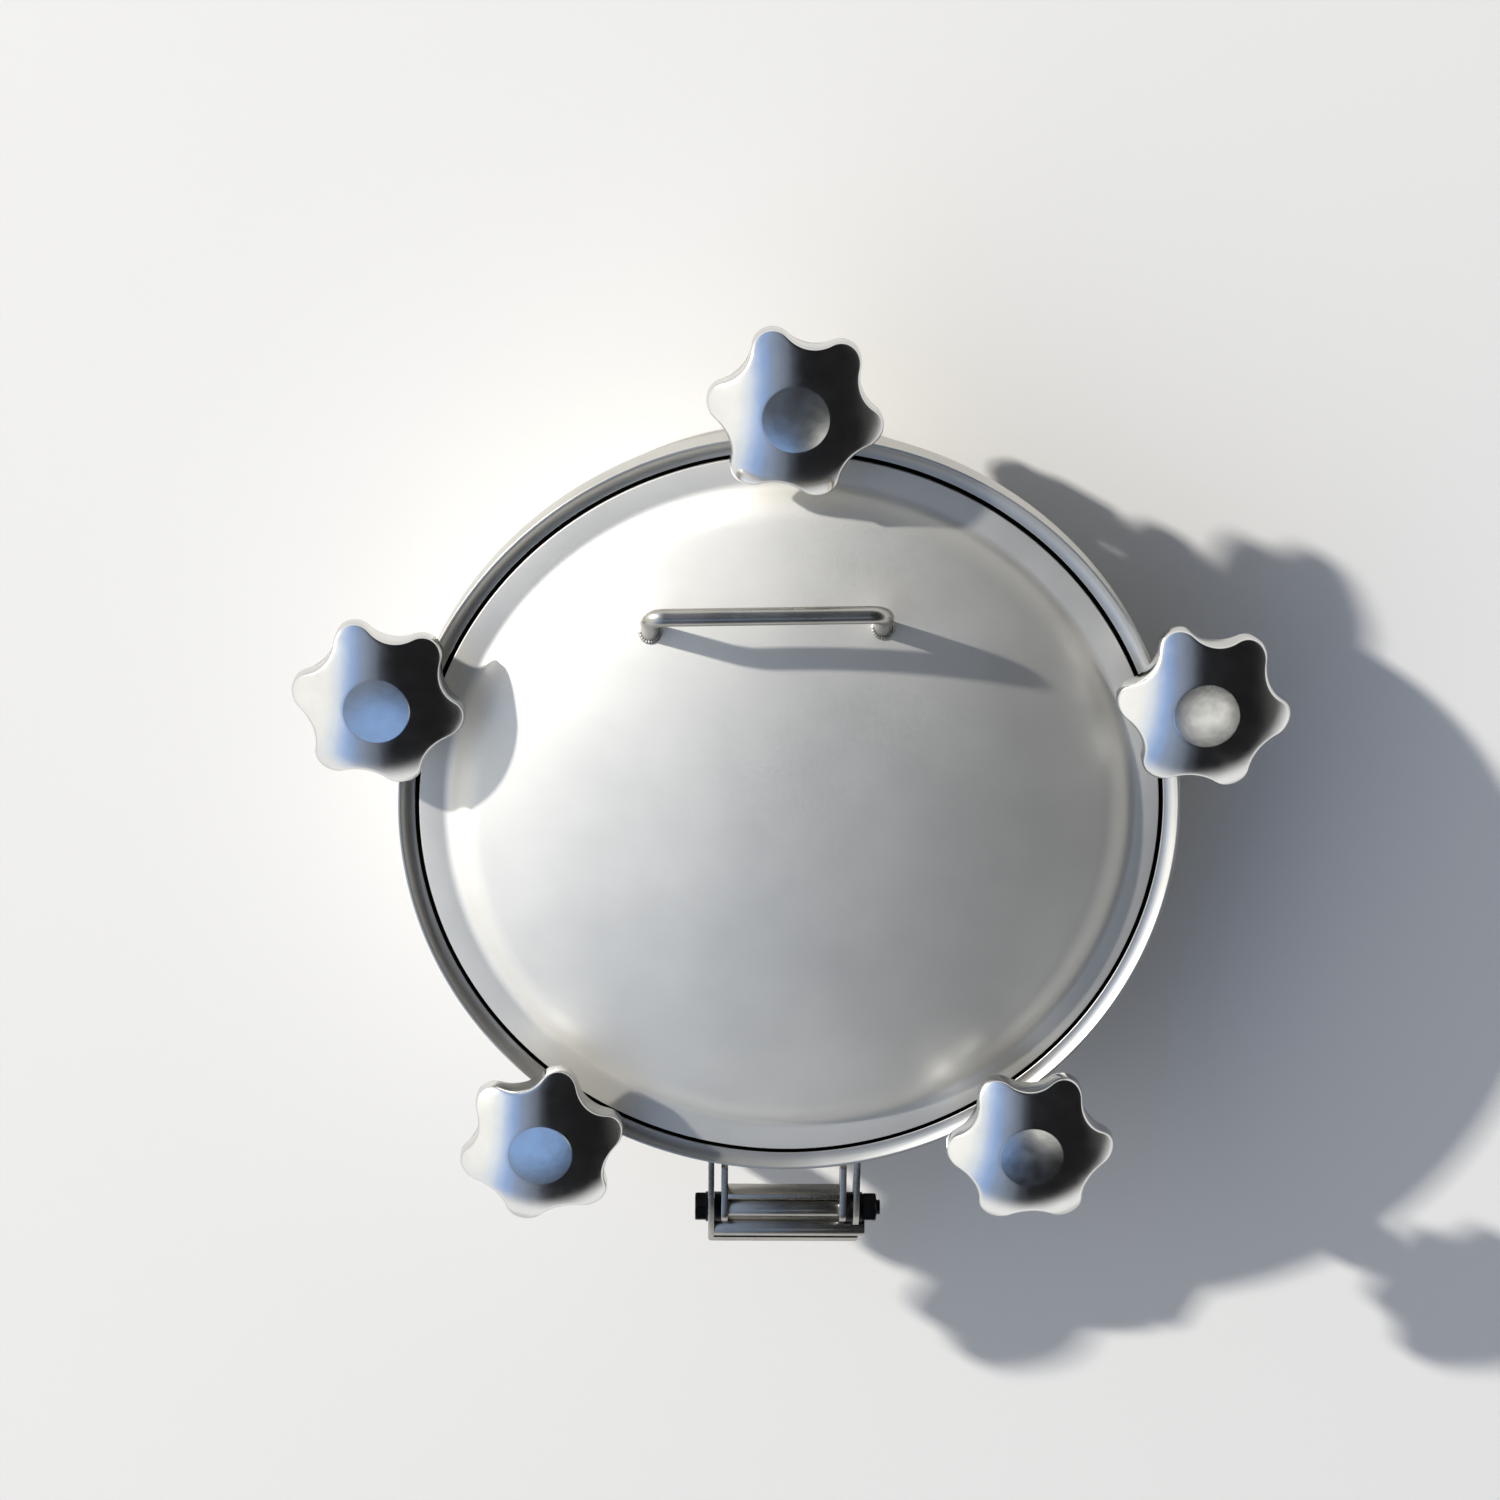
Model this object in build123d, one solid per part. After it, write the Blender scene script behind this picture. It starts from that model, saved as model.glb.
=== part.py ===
from build123d import *
import os
from math import asin, cos, pi, radians, sin

# Round tank manway: a dished, hinged lid on a short neck, held by five star-knob clamps.
# Frame: origin at the centre of the neck's weld rim, +Z up the neck, hinge towards -Y.
# All sizes are in millimetres.

# ---- neck ----
BORE_DIAMETER = 400.0
NECK_WALL = 3.0
NECK_HEIGHT = 100.0
NECK_FLANGE_WIDTH = 17.0
NECK_FLANGE_THICKNESS = 6.0

# ---- lid: gasket, rim ring and dished plate ----
GASKET_THICKNESS = 5.0
GASKET_WIDTH = 13.0
GASKET_INSET = 1.0
GASKET_CLEARANCE = 0.1
RING_LEDGE_THICKNESS = 4.0
RING_LEDGE_INSET = 1.0
RING_SKIRT_WALL = 2.5
RING_SKIRT_CLEARANCE = 2.5
RING_SKIRT_DEPTH = 20.0
RING_LIP_WIDTH = 1.6
RING_LIP_RISE = 3.0
RING_GROOVE_WIDTH = 2.6
RING_GROOVE_DEPTH = 2.0
RING_BAND_DROP = 0.6
RING_BAND_SAG = 0.9
DISH_SHEET = 3.0
DISH_FLANGE_WIDTH = 13.0
DISH_CROWN_RADIUS = 560.0
DISH_KNUCKLE_RADIUS = 40.0
DISH_ROOT_RADIUS = 10.0
DISH_SIDE_SLOPE = 45.0

# ---- lifting handle, welded on the dish opposite the hinge ----
HANDLE_ROD = 10.0
HANDLE_SPAN = 130.0
HANDLE_RISE = 34.0
HANDLE_LEAN = 28.5
HANDLE_BEND_RADIUS = 9.0
HANDLE_FOOT_Y = 119.0
HANDLE_SHIFT_X = -12.0
HANDLE_TURN = 1.2
HANDLE_SUNK = 30.0

# ---- hinge ----
HINGE_OFFSET = 37.0
HINGE_DROP = 5.0
HINGE_BOLT = 10.0
HINGE_RUNNING_GAP = 0.08
HINGE_SIDE_GAP = 0.1
STRAP_WIDTH = 91.0
STRAP_BAR = 3.5
STRAP_EYE_RADIUS = 12.0
STRAP_ROOT_DROP = 4.0
STRAP_END_TOP_DROP = 3.7
STRAP_CORNER = 2.5
STRAP_NOTCH_REACH = 1.0
BRACKET_PLATE = 4.0
BRACKET_EYE_WALL = 4.05
BRACKET_ROOT_DEPTH = 36.0
BRACKET_ROOT_INSET = 8.0
BRACKET_LID_GAP = 3.0
BRACKET_SHOULDER = 4.0
BRACKET_WEB_UNDER = 7.7
SLEEVE_WALL = 0.95
STOP_TUBE = 12.7
STOP_TUBE_WALL = 1.5
STOP_TUBE_GAP = 0.35
STOP_TUBE_STUB = 4.0
STOP_TUBE_DROP_ANGLE = 17.3
STOP_GAP = 0.3
STOP_PLATE_THICKNESS = 3.0
LID_OPEN_ANGLE = 110.0
SPACER_LENGTH = 4.2
SPACER_WALL = 3.95
WASHER_WALL = 3.95
HEAD_WASHER = 1.5
NUT_WASHER = 2.0
BOLT_HEAD = 6.4
BOLT_FLATS = 16.0
NUT_HEIGHT = 8.4
BOLT_TAIL = 2.4

# ---- star-knob clamps ----
CLAMP_COUNT = 5
CLAMP_GAP = 6.0
CLAMP_TRAVEL = 4.0
CLAMP_SEAT_GAP = 0.3
EAR_THICKNESS = 8.0
EAR_RADIUS = 18.0
EAR_DROP = 6.0
EAR_ROOT_LAP = 6.0
SPINDLE_DIAMETER = 16.0
SPINDLE_FLATS = 13.0
SPINDLE_RUNNING_GAP = 0.08
SPINDLE_TOP = 18.0
SPINDLE_FLATS_LAP = 2.0
STEM_DIAMETER = 12.0
THRUST_WASHER = 2.5
THRUST_WASHER_DIAMETER = 32.0
THRUST_WASHER_GAP = 0.6
END_GAP = 0.2
CLAW_HUB_DIAMETER = 26.0
CLAW_HEIGHT = 16.0
CLAW_REACH = 35.0
CLAW_TOE_WIDTH = 14.0
CLAW_TOE_HEIGHT = 10.0
CLAW_WASHER = 2.0
CLAW_WASHER_DIAMETER = 24.0
CLAW_NUT_FLATS = 18.0
CLAW_NUT_HEIGHT = 10.0
CLAW_STEM_TAIL = 2.0
KNOB_RADIUS = 49.5
KNOB_VALLEY_DEPTH = 10.5
KNOB_LOBE_RADIUS = 11.5
KNOB_LOBES = 6
KNOB_EDGE = 2.0
KNOB_TOP = 40.0
KNOB_DISC_RADIUS = 18.5
KNOB_RIM_HEIGHT = 28.0
KNOB_SKIRT_DEPTH = 10.0
KNOB_WALL = 3.0
KNOB_HUB_DIAMETER = 26.0
KNOB_BORE_TOP = 28.0
# how far each knob's lobes are turned, in the order of the clamps and starting over after five
KNOB_TURNS = [50.0, 49.0, 15.0, 2.0, 54.0]

# ---- clearances between pieces ----
FIT_GAP = 0.05
REST_GAP = 0.1
CUTTER_REACH = 400.0

# ---- worked out from the driving sizes ----
bore_r = BORE_DIAMETER / 2
neck_r = bore_r + NECK_WALL
neck_flange_r = neck_r + NECK_FLANGE_WIDTH
neck_flange_under = NECK_HEIGHT - NECK_FLANGE_THICKNESS

ring_inner_r = neck_flange_r + RING_SKIRT_CLEARANCE
ring_r = ring_inner_r + RING_SKIRT_WALL
ledge_under = NECK_HEIGHT + GASKET_CLEARANCE + GASKET_THICKNESS
ledge_top = ledge_under + RING_LEDGE_THICKNESS
dish_top = ledge_top + DISH_SHEET
ring_top = dish_top + RING_LIP_RISE
skirt_bottom = ring_top - RING_SKIRT_DEPTH
dish_flange_r = bore_r + DISH_FLANGE_WIDTH
ledge_inner_r = bore_r + RING_LEDGE_INSET
groove_r = dish_flange_r + RING_GROOVE_WIDTH

hinge_y = -(ring_r + HINGE_OFFSET)
hinge_z = skirt_bottom - HINGE_DROP
bolt_r = HINGE_BOLT / 2
bolt_hole_r = bolt_r + FIT_GAP
bracket_eye_r = bolt_hole_r + BRACKET_EYE_WALL
strap_outer_x = STRAP_WIDTH / 2
strap_inner_x = strap_outer_x - STRAP_BAR
bracket_outer_x = strap_inner_x - HINGE_SIDE_GAP - SPACER_LENGTH
bracket_inner_x = bracket_outer_x - BRACKET_PLATE
stop_tube_r = STOP_TUBE / 2
stop_tube_swing = bracket_eye_r + STOP_TUBE_GAP + stop_tube_r
stop_tube_y = hinge_y - stop_tube_swing * cos(radians(STOP_TUBE_DROP_ANGLE))
stop_tube_z = hinge_z - stop_tube_swing * sin(radians(STOP_TUBE_DROP_ANGLE))
# where the stop tube comes to rest under the stop plate when the lid is fully open
open_bearing = radians(180 + STOP_TUBE_DROP_ANGLE + LID_OPEN_ANGLE)
open_tube_y = hinge_y + stop_tube_swing * cos(open_bearing)
open_tube_z = hinge_z + stop_tube_swing * sin(open_bearing)
stop_plate_under = open_tube_z + stop_tube_r + STOP_GAP
strap_end_inner_y = stop_tube_y - stop_tube_r - REST_GAP
strap_end_y = strap_end_inner_y - STRAP_BAR

# the clamps are evenly spaced, with the hinge midway between two of them
clamp_step = 360 / CLAMP_COUNT
clamp_start = (CLAMP_COUNT // 2 + 0.5) * clamp_step - 90
spindle_r = SPINDLE_DIAMETER / 2
clamp_circle_r = ring_r + CLAMP_GAP + CLAW_HUB_DIAMETER / 2
ear_top = ring_top - EAR_DROP
ear_under = ear_top - EAR_THICKNESS
washer_top = ear_top + THRUST_WASHER
hub_bottom = washer_top + REST_GAP
knob_top = ring_top + KNOB_TOP
knob_rim = ring_top + KNOB_RIM_HEIGHT
knob_bottom = knob_rim - KNOB_SKIRT_DEPTH
knob_valley_r = KNOB_RADIUS - KNOB_VALLEY_DEPTH
claw_top = neck_flange_under - CLAMP_SEAT_GAP - CLAMP_TRAVEL
claw_bottom = claw_top - CLAW_HEIGHT
stem_top = claw_top + END_GAP
claw_washer_top = claw_bottom - END_GAP
claw_nut_top = claw_washer_top - CLAW_WASHER
claw_nut_bottom = claw_nut_top - CLAW_NUT_HEIGHT
stem_bottom = claw_nut_bottom - CLAW_STEM_TAIL
stem_bore_r = STEM_DIAMETER / 2 + FIT_GAP

parts = {}


def revolved(points):
    """A solid of revolution about Z from a closed outline of (radius, height) points."""
    outline = make_face(Polyline(*points, close=True))
    return revolve(Plane.XZ * outline, Axis.Z)


def tube(outer_r, inner_r, bottom, top):
    """An upright tube or washer on the Z axis, or a plain disc where inner_r is 0."""
    body = Cylinder(outer_r, top - bottom, align=(Align.CENTER, Align.CENTER, Align.MIN))
    if inner_r > 0:
        body -= Cylinder(inner_r, top - bottom, align=(Align.CENTER, Align.CENTER, Align.MIN))
    return Pos(0, 0, bottom) * body


def cross_rod(radius, x_from, x_to, y=hinge_y, z=hinge_z, bore=0.0):
    """A round rod or tube along X, by default on the hinge axis."""
    section = Circle(radius) - Circle(bore) if bore > 0 else Circle(radius)
    return Pos(x_from, y, z) * extrude(Plane.YZ * section, x_to - x_from)


def cross_hex(flats, x_from, x_to, bore=0.0):
    """A hexagon along X on the hinge axis, with or without a bore."""
    section = RegularPolygon(flats / 2, 6, major_radius=False)
    if bore > 0:
        section -= Circle(bore)
    return Pos(x_from, hinge_y, hinge_z) * extrude(Plane.YZ * section, x_to - x_from)


def side_plate(points, x_from, x_to):
    """A flat plate standing in a YZ plane, from an outline of (y, z) points."""
    outline = make_face(Polyline(*points, close=True))
    return Pos(x_from, 0, 0) * extrude(Plane.YZ * outline, x_to - x_from)


# ---- neck ----

def build_neck():
    parts["neck_tube"] = tube(neck_r, bore_r, 0, NECK_HEIGHT)
    parts["neck_flange"] = tube(neck_flange_r, neck_r, neck_flange_under, NECK_HEIGHT)


# ---- dished plate ----

def dish_arcs(offset):
    """The dish's meridian, apex to flange, offset inwards by a sheet thickness.

    The crown, the knuckle and the root fillet are tangent arcs about fixed centres, so the
    two faces of the sheet share those centres.
    """
    slope = radians(DISH_SIDE_SLOPE)
    bend = DISH_KNUCKLE_RADIUS + DISH_ROOT_RADIUS
    arm = DISH_CROWN_RADIUS - DISH_KNUCKLE_RADIUS
    crown_angle = asin((bore_r - bend * sin(slope)) / arm)
    crown_z = dish_top + DISH_ROOT_RADIUS - bend * cos(slope) - arm * cos(crown_angle)
    knuckle_x = arm * sin(crown_angle)
    knuckle_z = crown_z + arm * cos(crown_angle)

    def crown(angle):
        radius = DISH_CROWN_RADIUS - offset
        return (radius * sin(angle), crown_z + radius * cos(angle))

    def knuckle(angle):
        radius = DISH_KNUCKLE_RADIUS - offset
        return (knuckle_x + radius * sin(angle), knuckle_z + radius * cos(angle))

    def root(angle):
        radius = DISH_ROOT_RADIUS + offset
        return (bore_r - radius * sin(angle), dish_top + DISH_ROOT_RADIUS - radius * cos(angle))

    knuckle_middle = (crown_angle + slope) / 2
    return [
        ThreePointArc(crown(0), crown(crown_angle / 2), crown(crown_angle)),
        ThreePointArc(knuckle(crown_angle), knuckle(knuckle_middle), knuckle(slope)),
        ThreePointArc(root(slope), root(slope / 2), root(0)),
    ]


def dish_apex(offset):
    """The point where a face of the dish crosses the Z axis, as (radius, height)."""
    apex = dish_arcs(offset)[0] @ 0
    return (apex.X, apex.Y)


def build_dish():
    flange = Polyline(
        (bore_r, dish_top),
        (dish_flange_r, dish_top),
        (dish_flange_r, ledge_top),
        (bore_r, ledge_top),
    )
    axis_edge = Line(dish_apex(0), dish_apex(DISH_SHEET))
    outline = make_face(Curve() + dish_arcs(0) + dish_arcs(DISH_SHEET) + flange + axis_edge)
    parts["lid_dish"] = revolve(Plane.XZ * outline, Axis.Z)


def dish_envelope():
    """Everything under the dish's outer face, used to trim what is welded on it."""
    closing = Polyline((bore_r, dish_top), (bore_r, 0), (0, 0), dish_apex(0))
    outline = make_face(Curve() + dish_arcs(0) + closing)
    return revolve(Plane.XZ * outline, Axis.Z)


# ---- rim ring and gasket ----

def build_rim():
    """The turned ring: ledge, deep groove round the dish, hollow sloping band and lip."""
    groove_floor = ledge_top - RING_GROOVE_DEPTH
    band_inner = (groove_r, dish_top - RING_BAND_DROP)
    band_outer = (ring_r - RING_LIP_WIDTH, ring_top)
    band_middle = (
        (band_inner[0] + band_outer[0]) / 2 + RING_BAND_SAG / 2,
        (band_inner[1] + band_outer[1]) / 2 - RING_BAND_SAG,
    )
    parts["lid_ring"] = revolved([
        (ring_r, ring_top),
        (ring_r, skirt_bottom),
        (ring_inner_r, skirt_bottom),
        (ring_inner_r, ledge_under),
        (ledge_inner_r, ledge_under),
        (ledge_inner_r, ledge_top),
        (dish_flange_r, ledge_top),
        (dish_flange_r, groove_floor),
        (groove_r, groove_floor),
        band_inner,
        band_middle,
        band_outer,
    ])
    gasket_inner = neck_r + GASKET_INSET
    parts["gasket"] = tube(
        gasket_inner + GASKET_WIDTH, gasket_inner, ledge_under - GASKET_THICKNESS, ledge_under
    )


# ---- handle ----

def handle_plane():
    """The handle's plane: its X runs along the grip and its Y up the leaning legs."""
    turn = Rot(0, 0, HANDLE_TURN)
    foot = turn * Pos(HANDLE_SHIFT_X, HANDLE_FOOT_Y, 0)
    return foot * Rot(90 - HANDLE_LEAN, 0, 0)


def build_handle():
    half = HANDLE_SPAN / 2
    foot_r = (HANDLE_FOOT_Y ** 2 + half ** 2) ** 0.5
    crown_z = dish_apex(0)[1] - DISH_CROWN_RADIUS
    foot_z = crown_z + (DISH_CROWN_RADIUS ** 2 - foot_r ** 2) ** 0.5
    leg = HANDLE_RISE / cos(radians(HANDLE_LEAN))
    path = FilletPolyline(
        (-half, -HANDLE_SUNK),
        (-half, leg),
        (half, leg),
        (half, -HANDLE_SUNK),
        radius=HANDLE_BEND_RADIUS,
    )
    start = Plane(origin=path @ 0, z_dir=path % 0)
    rod = sweep(start * Circle(HANDLE_ROD / 2), path=path)
    placed = Pos(0, 0, foot_z) * handle_plane() * rod
    parts["handle"] = placed - dish_envelope()


# ---- hinge ----

def build_strap():
    """The bent bar from the lid's ring round the hinge, with the stop tube across its end."""
    root_y = -(ring_r * ring_r - strap_inner_x ** 2) ** 0.5 + STRAP_BAR
    arm_side = [
        (root_y, ring_top - STRAP_ROOT_DROP),
        (hinge_y, hinge_z + STRAP_EYE_RADIUS),
        (strap_end_y, hinge_z - STRAP_END_TOP_DROP),
        (strap_end_y, hinge_z - STRAP_EYE_RADIUS),
        (hinge_y, hinge_z - STRAP_EYE_RADIUS),
        (root_y, skirt_bottom),
    ]
    outside = Pos(0, (root_y + strap_end_y) / 2, 0) * Rectangle(STRAP_WIDTH, root_y - strap_end_y)
    outside = fillet(outside.vertices().group_by(Axis.Y)[0], STRAP_CORNER)
    inside = Pos(0, (root_y + strap_end_inner_y) / 2, 0) * Rectangle(
        2 * strap_inner_x, root_y - strap_end_inner_y
    )
    band = extrude(outside - inside, ring_top)
    strap = band & side_plate(arm_side, -strap_outer_x, strap_outer_x)
    strap -= Cylinder(ring_r + FIT_GAP, CUTTER_REACH)
    strap -= cross_rod(bolt_r + HINGE_RUNNING_GAP, -STRAP_WIDTH, STRAP_WIDTH)
    notch_r = stop_tube_r + REST_GAP
    notch = cross_rod(
        notch_r,
        strap_inner_x - STRAP_NOTCH_REACH,
        strap_outer_x + STRAP_NOTCH_REACH,
        stop_tube_y,
        stop_tube_z,
    )
    notch_top = Pos(strap_outer_x, stop_tube_y, stop_tube_z) * Box(
        4 * STRAP_BAR, 2 * notch_r, 2 * notch_r, align=(Align.CENTER, Align.CENTER, Align.MIN)
    )
    parts["hinge_strap"] = strap - notch - notch_top
    parts["stop_tube"] = cross_rod(
        stop_tube_r,
        -strap_inner_x,
        strap_outer_x + STOP_TUBE_STUB,
        stop_tube_y,
        stop_tube_z,
        bore=stop_tube_r - STOP_TUBE_WALL,
    )


def build_bracket():
    """Two arms on the neck, their bolt eyes, and the plate that stops the open lid."""
    root_y = BRACKET_ROOT_INSET - neck_r
    clear_y = -(ring_r + BRACKET_LID_GAP)
    eye_top = hinge_z + bracket_eye_r
    web = [
        (root_y, neck_flange_under),
        (clear_y, neck_flange_under),
        (clear_y - BRACKET_SHOULDER, eye_top),
        (hinge_y, eye_top),
        (hinge_y, hinge_z - BRACKET_WEB_UNDER),
        (open_tube_y, stop_plate_under),
        (clear_y, stop_plate_under),
        (root_y, neck_flange_under - BRACKET_ROOT_DEPTH),
    ]
    sides = {"bracket_arm_left": -bracket_outer_x, "bracket_arm_right": bracket_inner_x}
    for name, x in sides.items():
        arm = side_plate(web, x, x + BRACKET_PLATE)
        arm += cross_rod(bracket_eye_r, x, x + BRACKET_PLATE)
        arm -= cross_rod(bolt_hole_r, x, x + BRACKET_PLATE)
        arm -= Cylinder(neck_r + FIT_GAP, CUTTER_REACH)
        parts[name] = arm
    parts["stop_plate"] = Pos(0, open_tube_y, eye_top) * Box(
        2 * bracket_inner_x,
        STOP_PLATE_THICKNESS,
        eye_top - stop_plate_under,
        align=(Align.CENTER, Align.MIN, Align.MAX),
    )


def build_hinge_fasteners():
    head_washer_x = -strap_outer_x - HINGE_SIDE_GAP - HEAD_WASHER
    nut_washer_x = strap_outer_x + HINGE_SIDE_GAP + NUT_WASHER
    nut_x = nut_washer_x + NUT_HEIGHT
    shank = cross_rod(bolt_r, head_washer_x, nut_x + BOLT_TAIL)
    parts["hinge_bolt"] = shank + cross_hex(BOLT_FLATS, head_washer_x - BOLT_HEAD, head_washer_x)
    parts["hinge_nut"] = cross_hex(BOLT_FLATS, nut_washer_x, nut_x, bore=bolt_hole_r)
    washer_r = bolt_hole_r + WASHER_WALL
    parts["hinge_washers"] = Compound(children=[
        cross_rod(washer_r, head_washer_x, head_washer_x + HEAD_WASHER, bore=bolt_hole_r),
        cross_rod(washer_r, nut_washer_x - NUT_WASHER, nut_washer_x, bore=bolt_hole_r),
    ])
    spacer_r = bolt_hole_r + SPACER_WALL
    spacer_end = strap_inner_x - HINGE_SIDE_GAP
    parts["hinge_spacers"] = Compound(children=[
        cross_rod(spacer_r, -spacer_end, -bracket_outer_x, bore=bolt_hole_r),
        cross_rod(spacer_r, bracket_outer_x, spacer_end, bore=bolt_hole_r),
    ])
    parts["hinge_sleeve"] = cross_rod(
        bolt_hole_r + SLEEVE_WALL, -bracket_inner_x, bracket_inner_x, bore=bolt_hole_r
    )


# ---- star-knob clamps ----

def star():
    """The knob's outline: round lobes joined by tangent valleys."""
    half = pi / KNOB_LOBES
    lobe_at = KNOB_RADIUS - KNOB_LOBE_RADIUS
    # the valley arc whose deepest point is at the valley radius and that touches both lobes
    reach = lobe_at * cos(half)
    valley_r = (
        (lobe_at ** 2 + knob_valley_r ** 2 - KNOB_LOBE_RADIUS ** 2) / 2
        - reach * knob_valley_r
    ) / (KNOB_LOBE_RADIUS - knob_valley_r + reach)
    valley_at = knob_valley_r + valley_r
    share = KNOB_LOBE_RADIUS / (KNOB_LOBE_RADIUS + valley_r)

    def on_circle(radius, angle):
        return Vector(radius * cos(angle), radius * sin(angle))

    arcs = []
    for i in range(KNOB_LOBES):
        angle = 2 * half * i
        lobe = on_circle(lobe_at, angle)
        next_lobe = on_circle(lobe_at, angle + 2 * half)
        valley_before = on_circle(valley_at, angle - half)
        valley = on_circle(valley_at, angle + half)
        start = lobe + (valley_before - lobe) * share
        middle = lobe + (valley - lobe) * share
        end = next_lobe + (valley - next_lobe) * share
        arcs.append(ThreePointArc(start, on_circle(KNOB_RADIUS, angle), middle))
        arcs.append(ThreePointArc(middle, on_circle(knob_valley_r, angle + half), end))
    return make_face(Curve() + arcs)


def knob_dome():
    """A round body, wider than the star, under the knob's domed flank and flat disc."""
    disc_r = KNOB_DISC_RADIUS
    fall = knob_top - knob_rim
    # the dome's sphere passes through the disc's edge and the lobe tips at the rim
    depth = (KNOB_RADIUS ** 2 - disc_r ** 2 - fall ** 2) / (2 * fall)
    sphere_r = (disc_r ** 2 + depth ** 2) ** 0.5
    edge_r = KNOB_RADIUS + KNOB_WALL

    def dome(radius):
        return (radius, knob_top - depth + (sphere_r ** 2 - radius ** 2) ** 0.5)

    flank = ThreePointArc(dome(disc_r), dome((disc_r + edge_r) / 2), dome(edge_r))
    below = Polyline(
        dome(edge_r), (edge_r, knob_bottom), (0, knob_bottom), (0, knob_top), dome(disc_r)
    )
    return revolve(Plane.XZ * make_face(Curve() + [flank, below]), Axis.Z)


def build_knob_shell():
    """The star's domed cap with an eased edge, and the round cavity below it."""
    cap = Pos(0, 0, knob_bottom) * extrude(star(), knob_top - knob_bottom) & knob_dome()
    flank = cap.faces().filter_by(GeomType.SPHERE)
    # the edges round the star's rim, without the disc's edge and any seam of the dome
    rim_edges = [
        edge
        for edge in flank.edges()
        if (edge @ 0.5).Z < knob_top - KNOB_WALL and abs((edge @ 0).Z - (edge @ 1).Z) < KNOB_WALL
    ]
    cavity_r = knob_valley_r - KNOB_WALL
    roof = knob_top - KNOB_WALL
    cavity = revolved([
        (0, knob_bottom),
        (cavity_r, knob_bottom),
        (cavity_r, knob_rim - KNOB_WALL),
        (KNOB_DISC_RADIUS, roof),
        (0, roof),
    ])
    return chamfer(rim_edges, KNOB_EDGE) - cavity


def build_knob_hub():
    hub_r = KNOB_HUB_DIAMETER / 2
    bore_radius = spindle_r + SPINDLE_RUNNING_GAP
    bore_top = ring_top + KNOB_BORE_TOP
    top = knob_top - KNOB_WALL
    return tube(hub_r, 0, hub_bottom, top) - tube(bore_radius, 0, hub_bottom, bore_top)


def build_spindle():
    """The screw: a round thread in the knob's hub, flats in the ear and a stem below."""
    thread_bottom = ear_top + SPINDLE_FLATS_LAP
    thread = tube(spindle_r, 0, thread_bottom, ring_top + SPINDLE_TOP)
    flats = tube(spindle_r, 0, stem_top, thread_bottom)
    flats &= Pos(0, 0, stem_top) * Box(
        SPINDLE_FLATS,
        2 * SPINDLE_DIAMETER,
        thread_bottom - stem_top,
        align=(Align.CENTER, Align.CENTER, Align.MIN),
    )
    return thread + flats + tube(STEM_DIAMETER / 2, 0, stem_bottom, stem_top)


def build_ear():
    """A lug on the rim ring: its round end is on the clamp's axis and its root towards -X."""
    reach = clamp_circle_r - ring_r + EAR_ROOT_LAP
    block = Pos(-reach / 2, 0, 0) * Rectangle(reach, 2 * EAR_RADIUS) + Circle(EAR_RADIUS)
    gap = SPINDLE_RUNNING_GAP
    hole = Circle(spindle_r + gap) & Rectangle(SPINDLE_FLATS + 2 * gap, 2 * SPINDLE_DIAMETER)
    ear = Pos(0, 0, ear_under) * extrude(block - hole, EAR_THICKNESS)
    return ear - Pos(-clamp_circle_r, 0, 0) * Cylinder(ring_r + FIT_GAP, CUTTER_REACH)


def build_claw():
    """A swivel dog: a round hub with a tapering arm along +X and a flat top face."""
    hub_r = CLAW_HUB_DIAMETER / 2
    toe_x = CLAW_REACH - CLAW_TOE_WIDTH / 2
    toe_under = claw_top - CLAW_TOE_HEIGHT
    arm = Pos(toe_x / 2, 0, 0) * Rectangle(toe_x, CLAW_TOE_WIDTH)
    arm += Pos(toe_x, 0, 0) * Circle(CLAW_TOE_WIDTH / 2)
    body = Pos(0, 0, claw_bottom) * extrude(arm, CLAW_HEIGHT)
    relief = make_face(Polyline(
        (hub_r, claw_bottom),
        (CLAW_REACH, claw_bottom),
        (CLAW_REACH, toe_under),
        (toe_x, toe_under),
        close=True,
    ))
    body -= extrude(Plane.XZ * relief, CLAW_TOE_WIDTH, both=True)
    hub = tube(hub_r, 0, claw_bottom, claw_top)
    return hub + body - tube(stem_bore_r, 0, claw_bottom, claw_top)


def build_claw_nut():
    section = RegularPolygon(CLAW_NUT_FLATS / 2, 6, major_radius=False) - Circle(stem_bore_r)
    return Pos(0, 0, claw_nut_bottom) * extrude(section, CLAW_NUT_HEIGHT)


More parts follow.
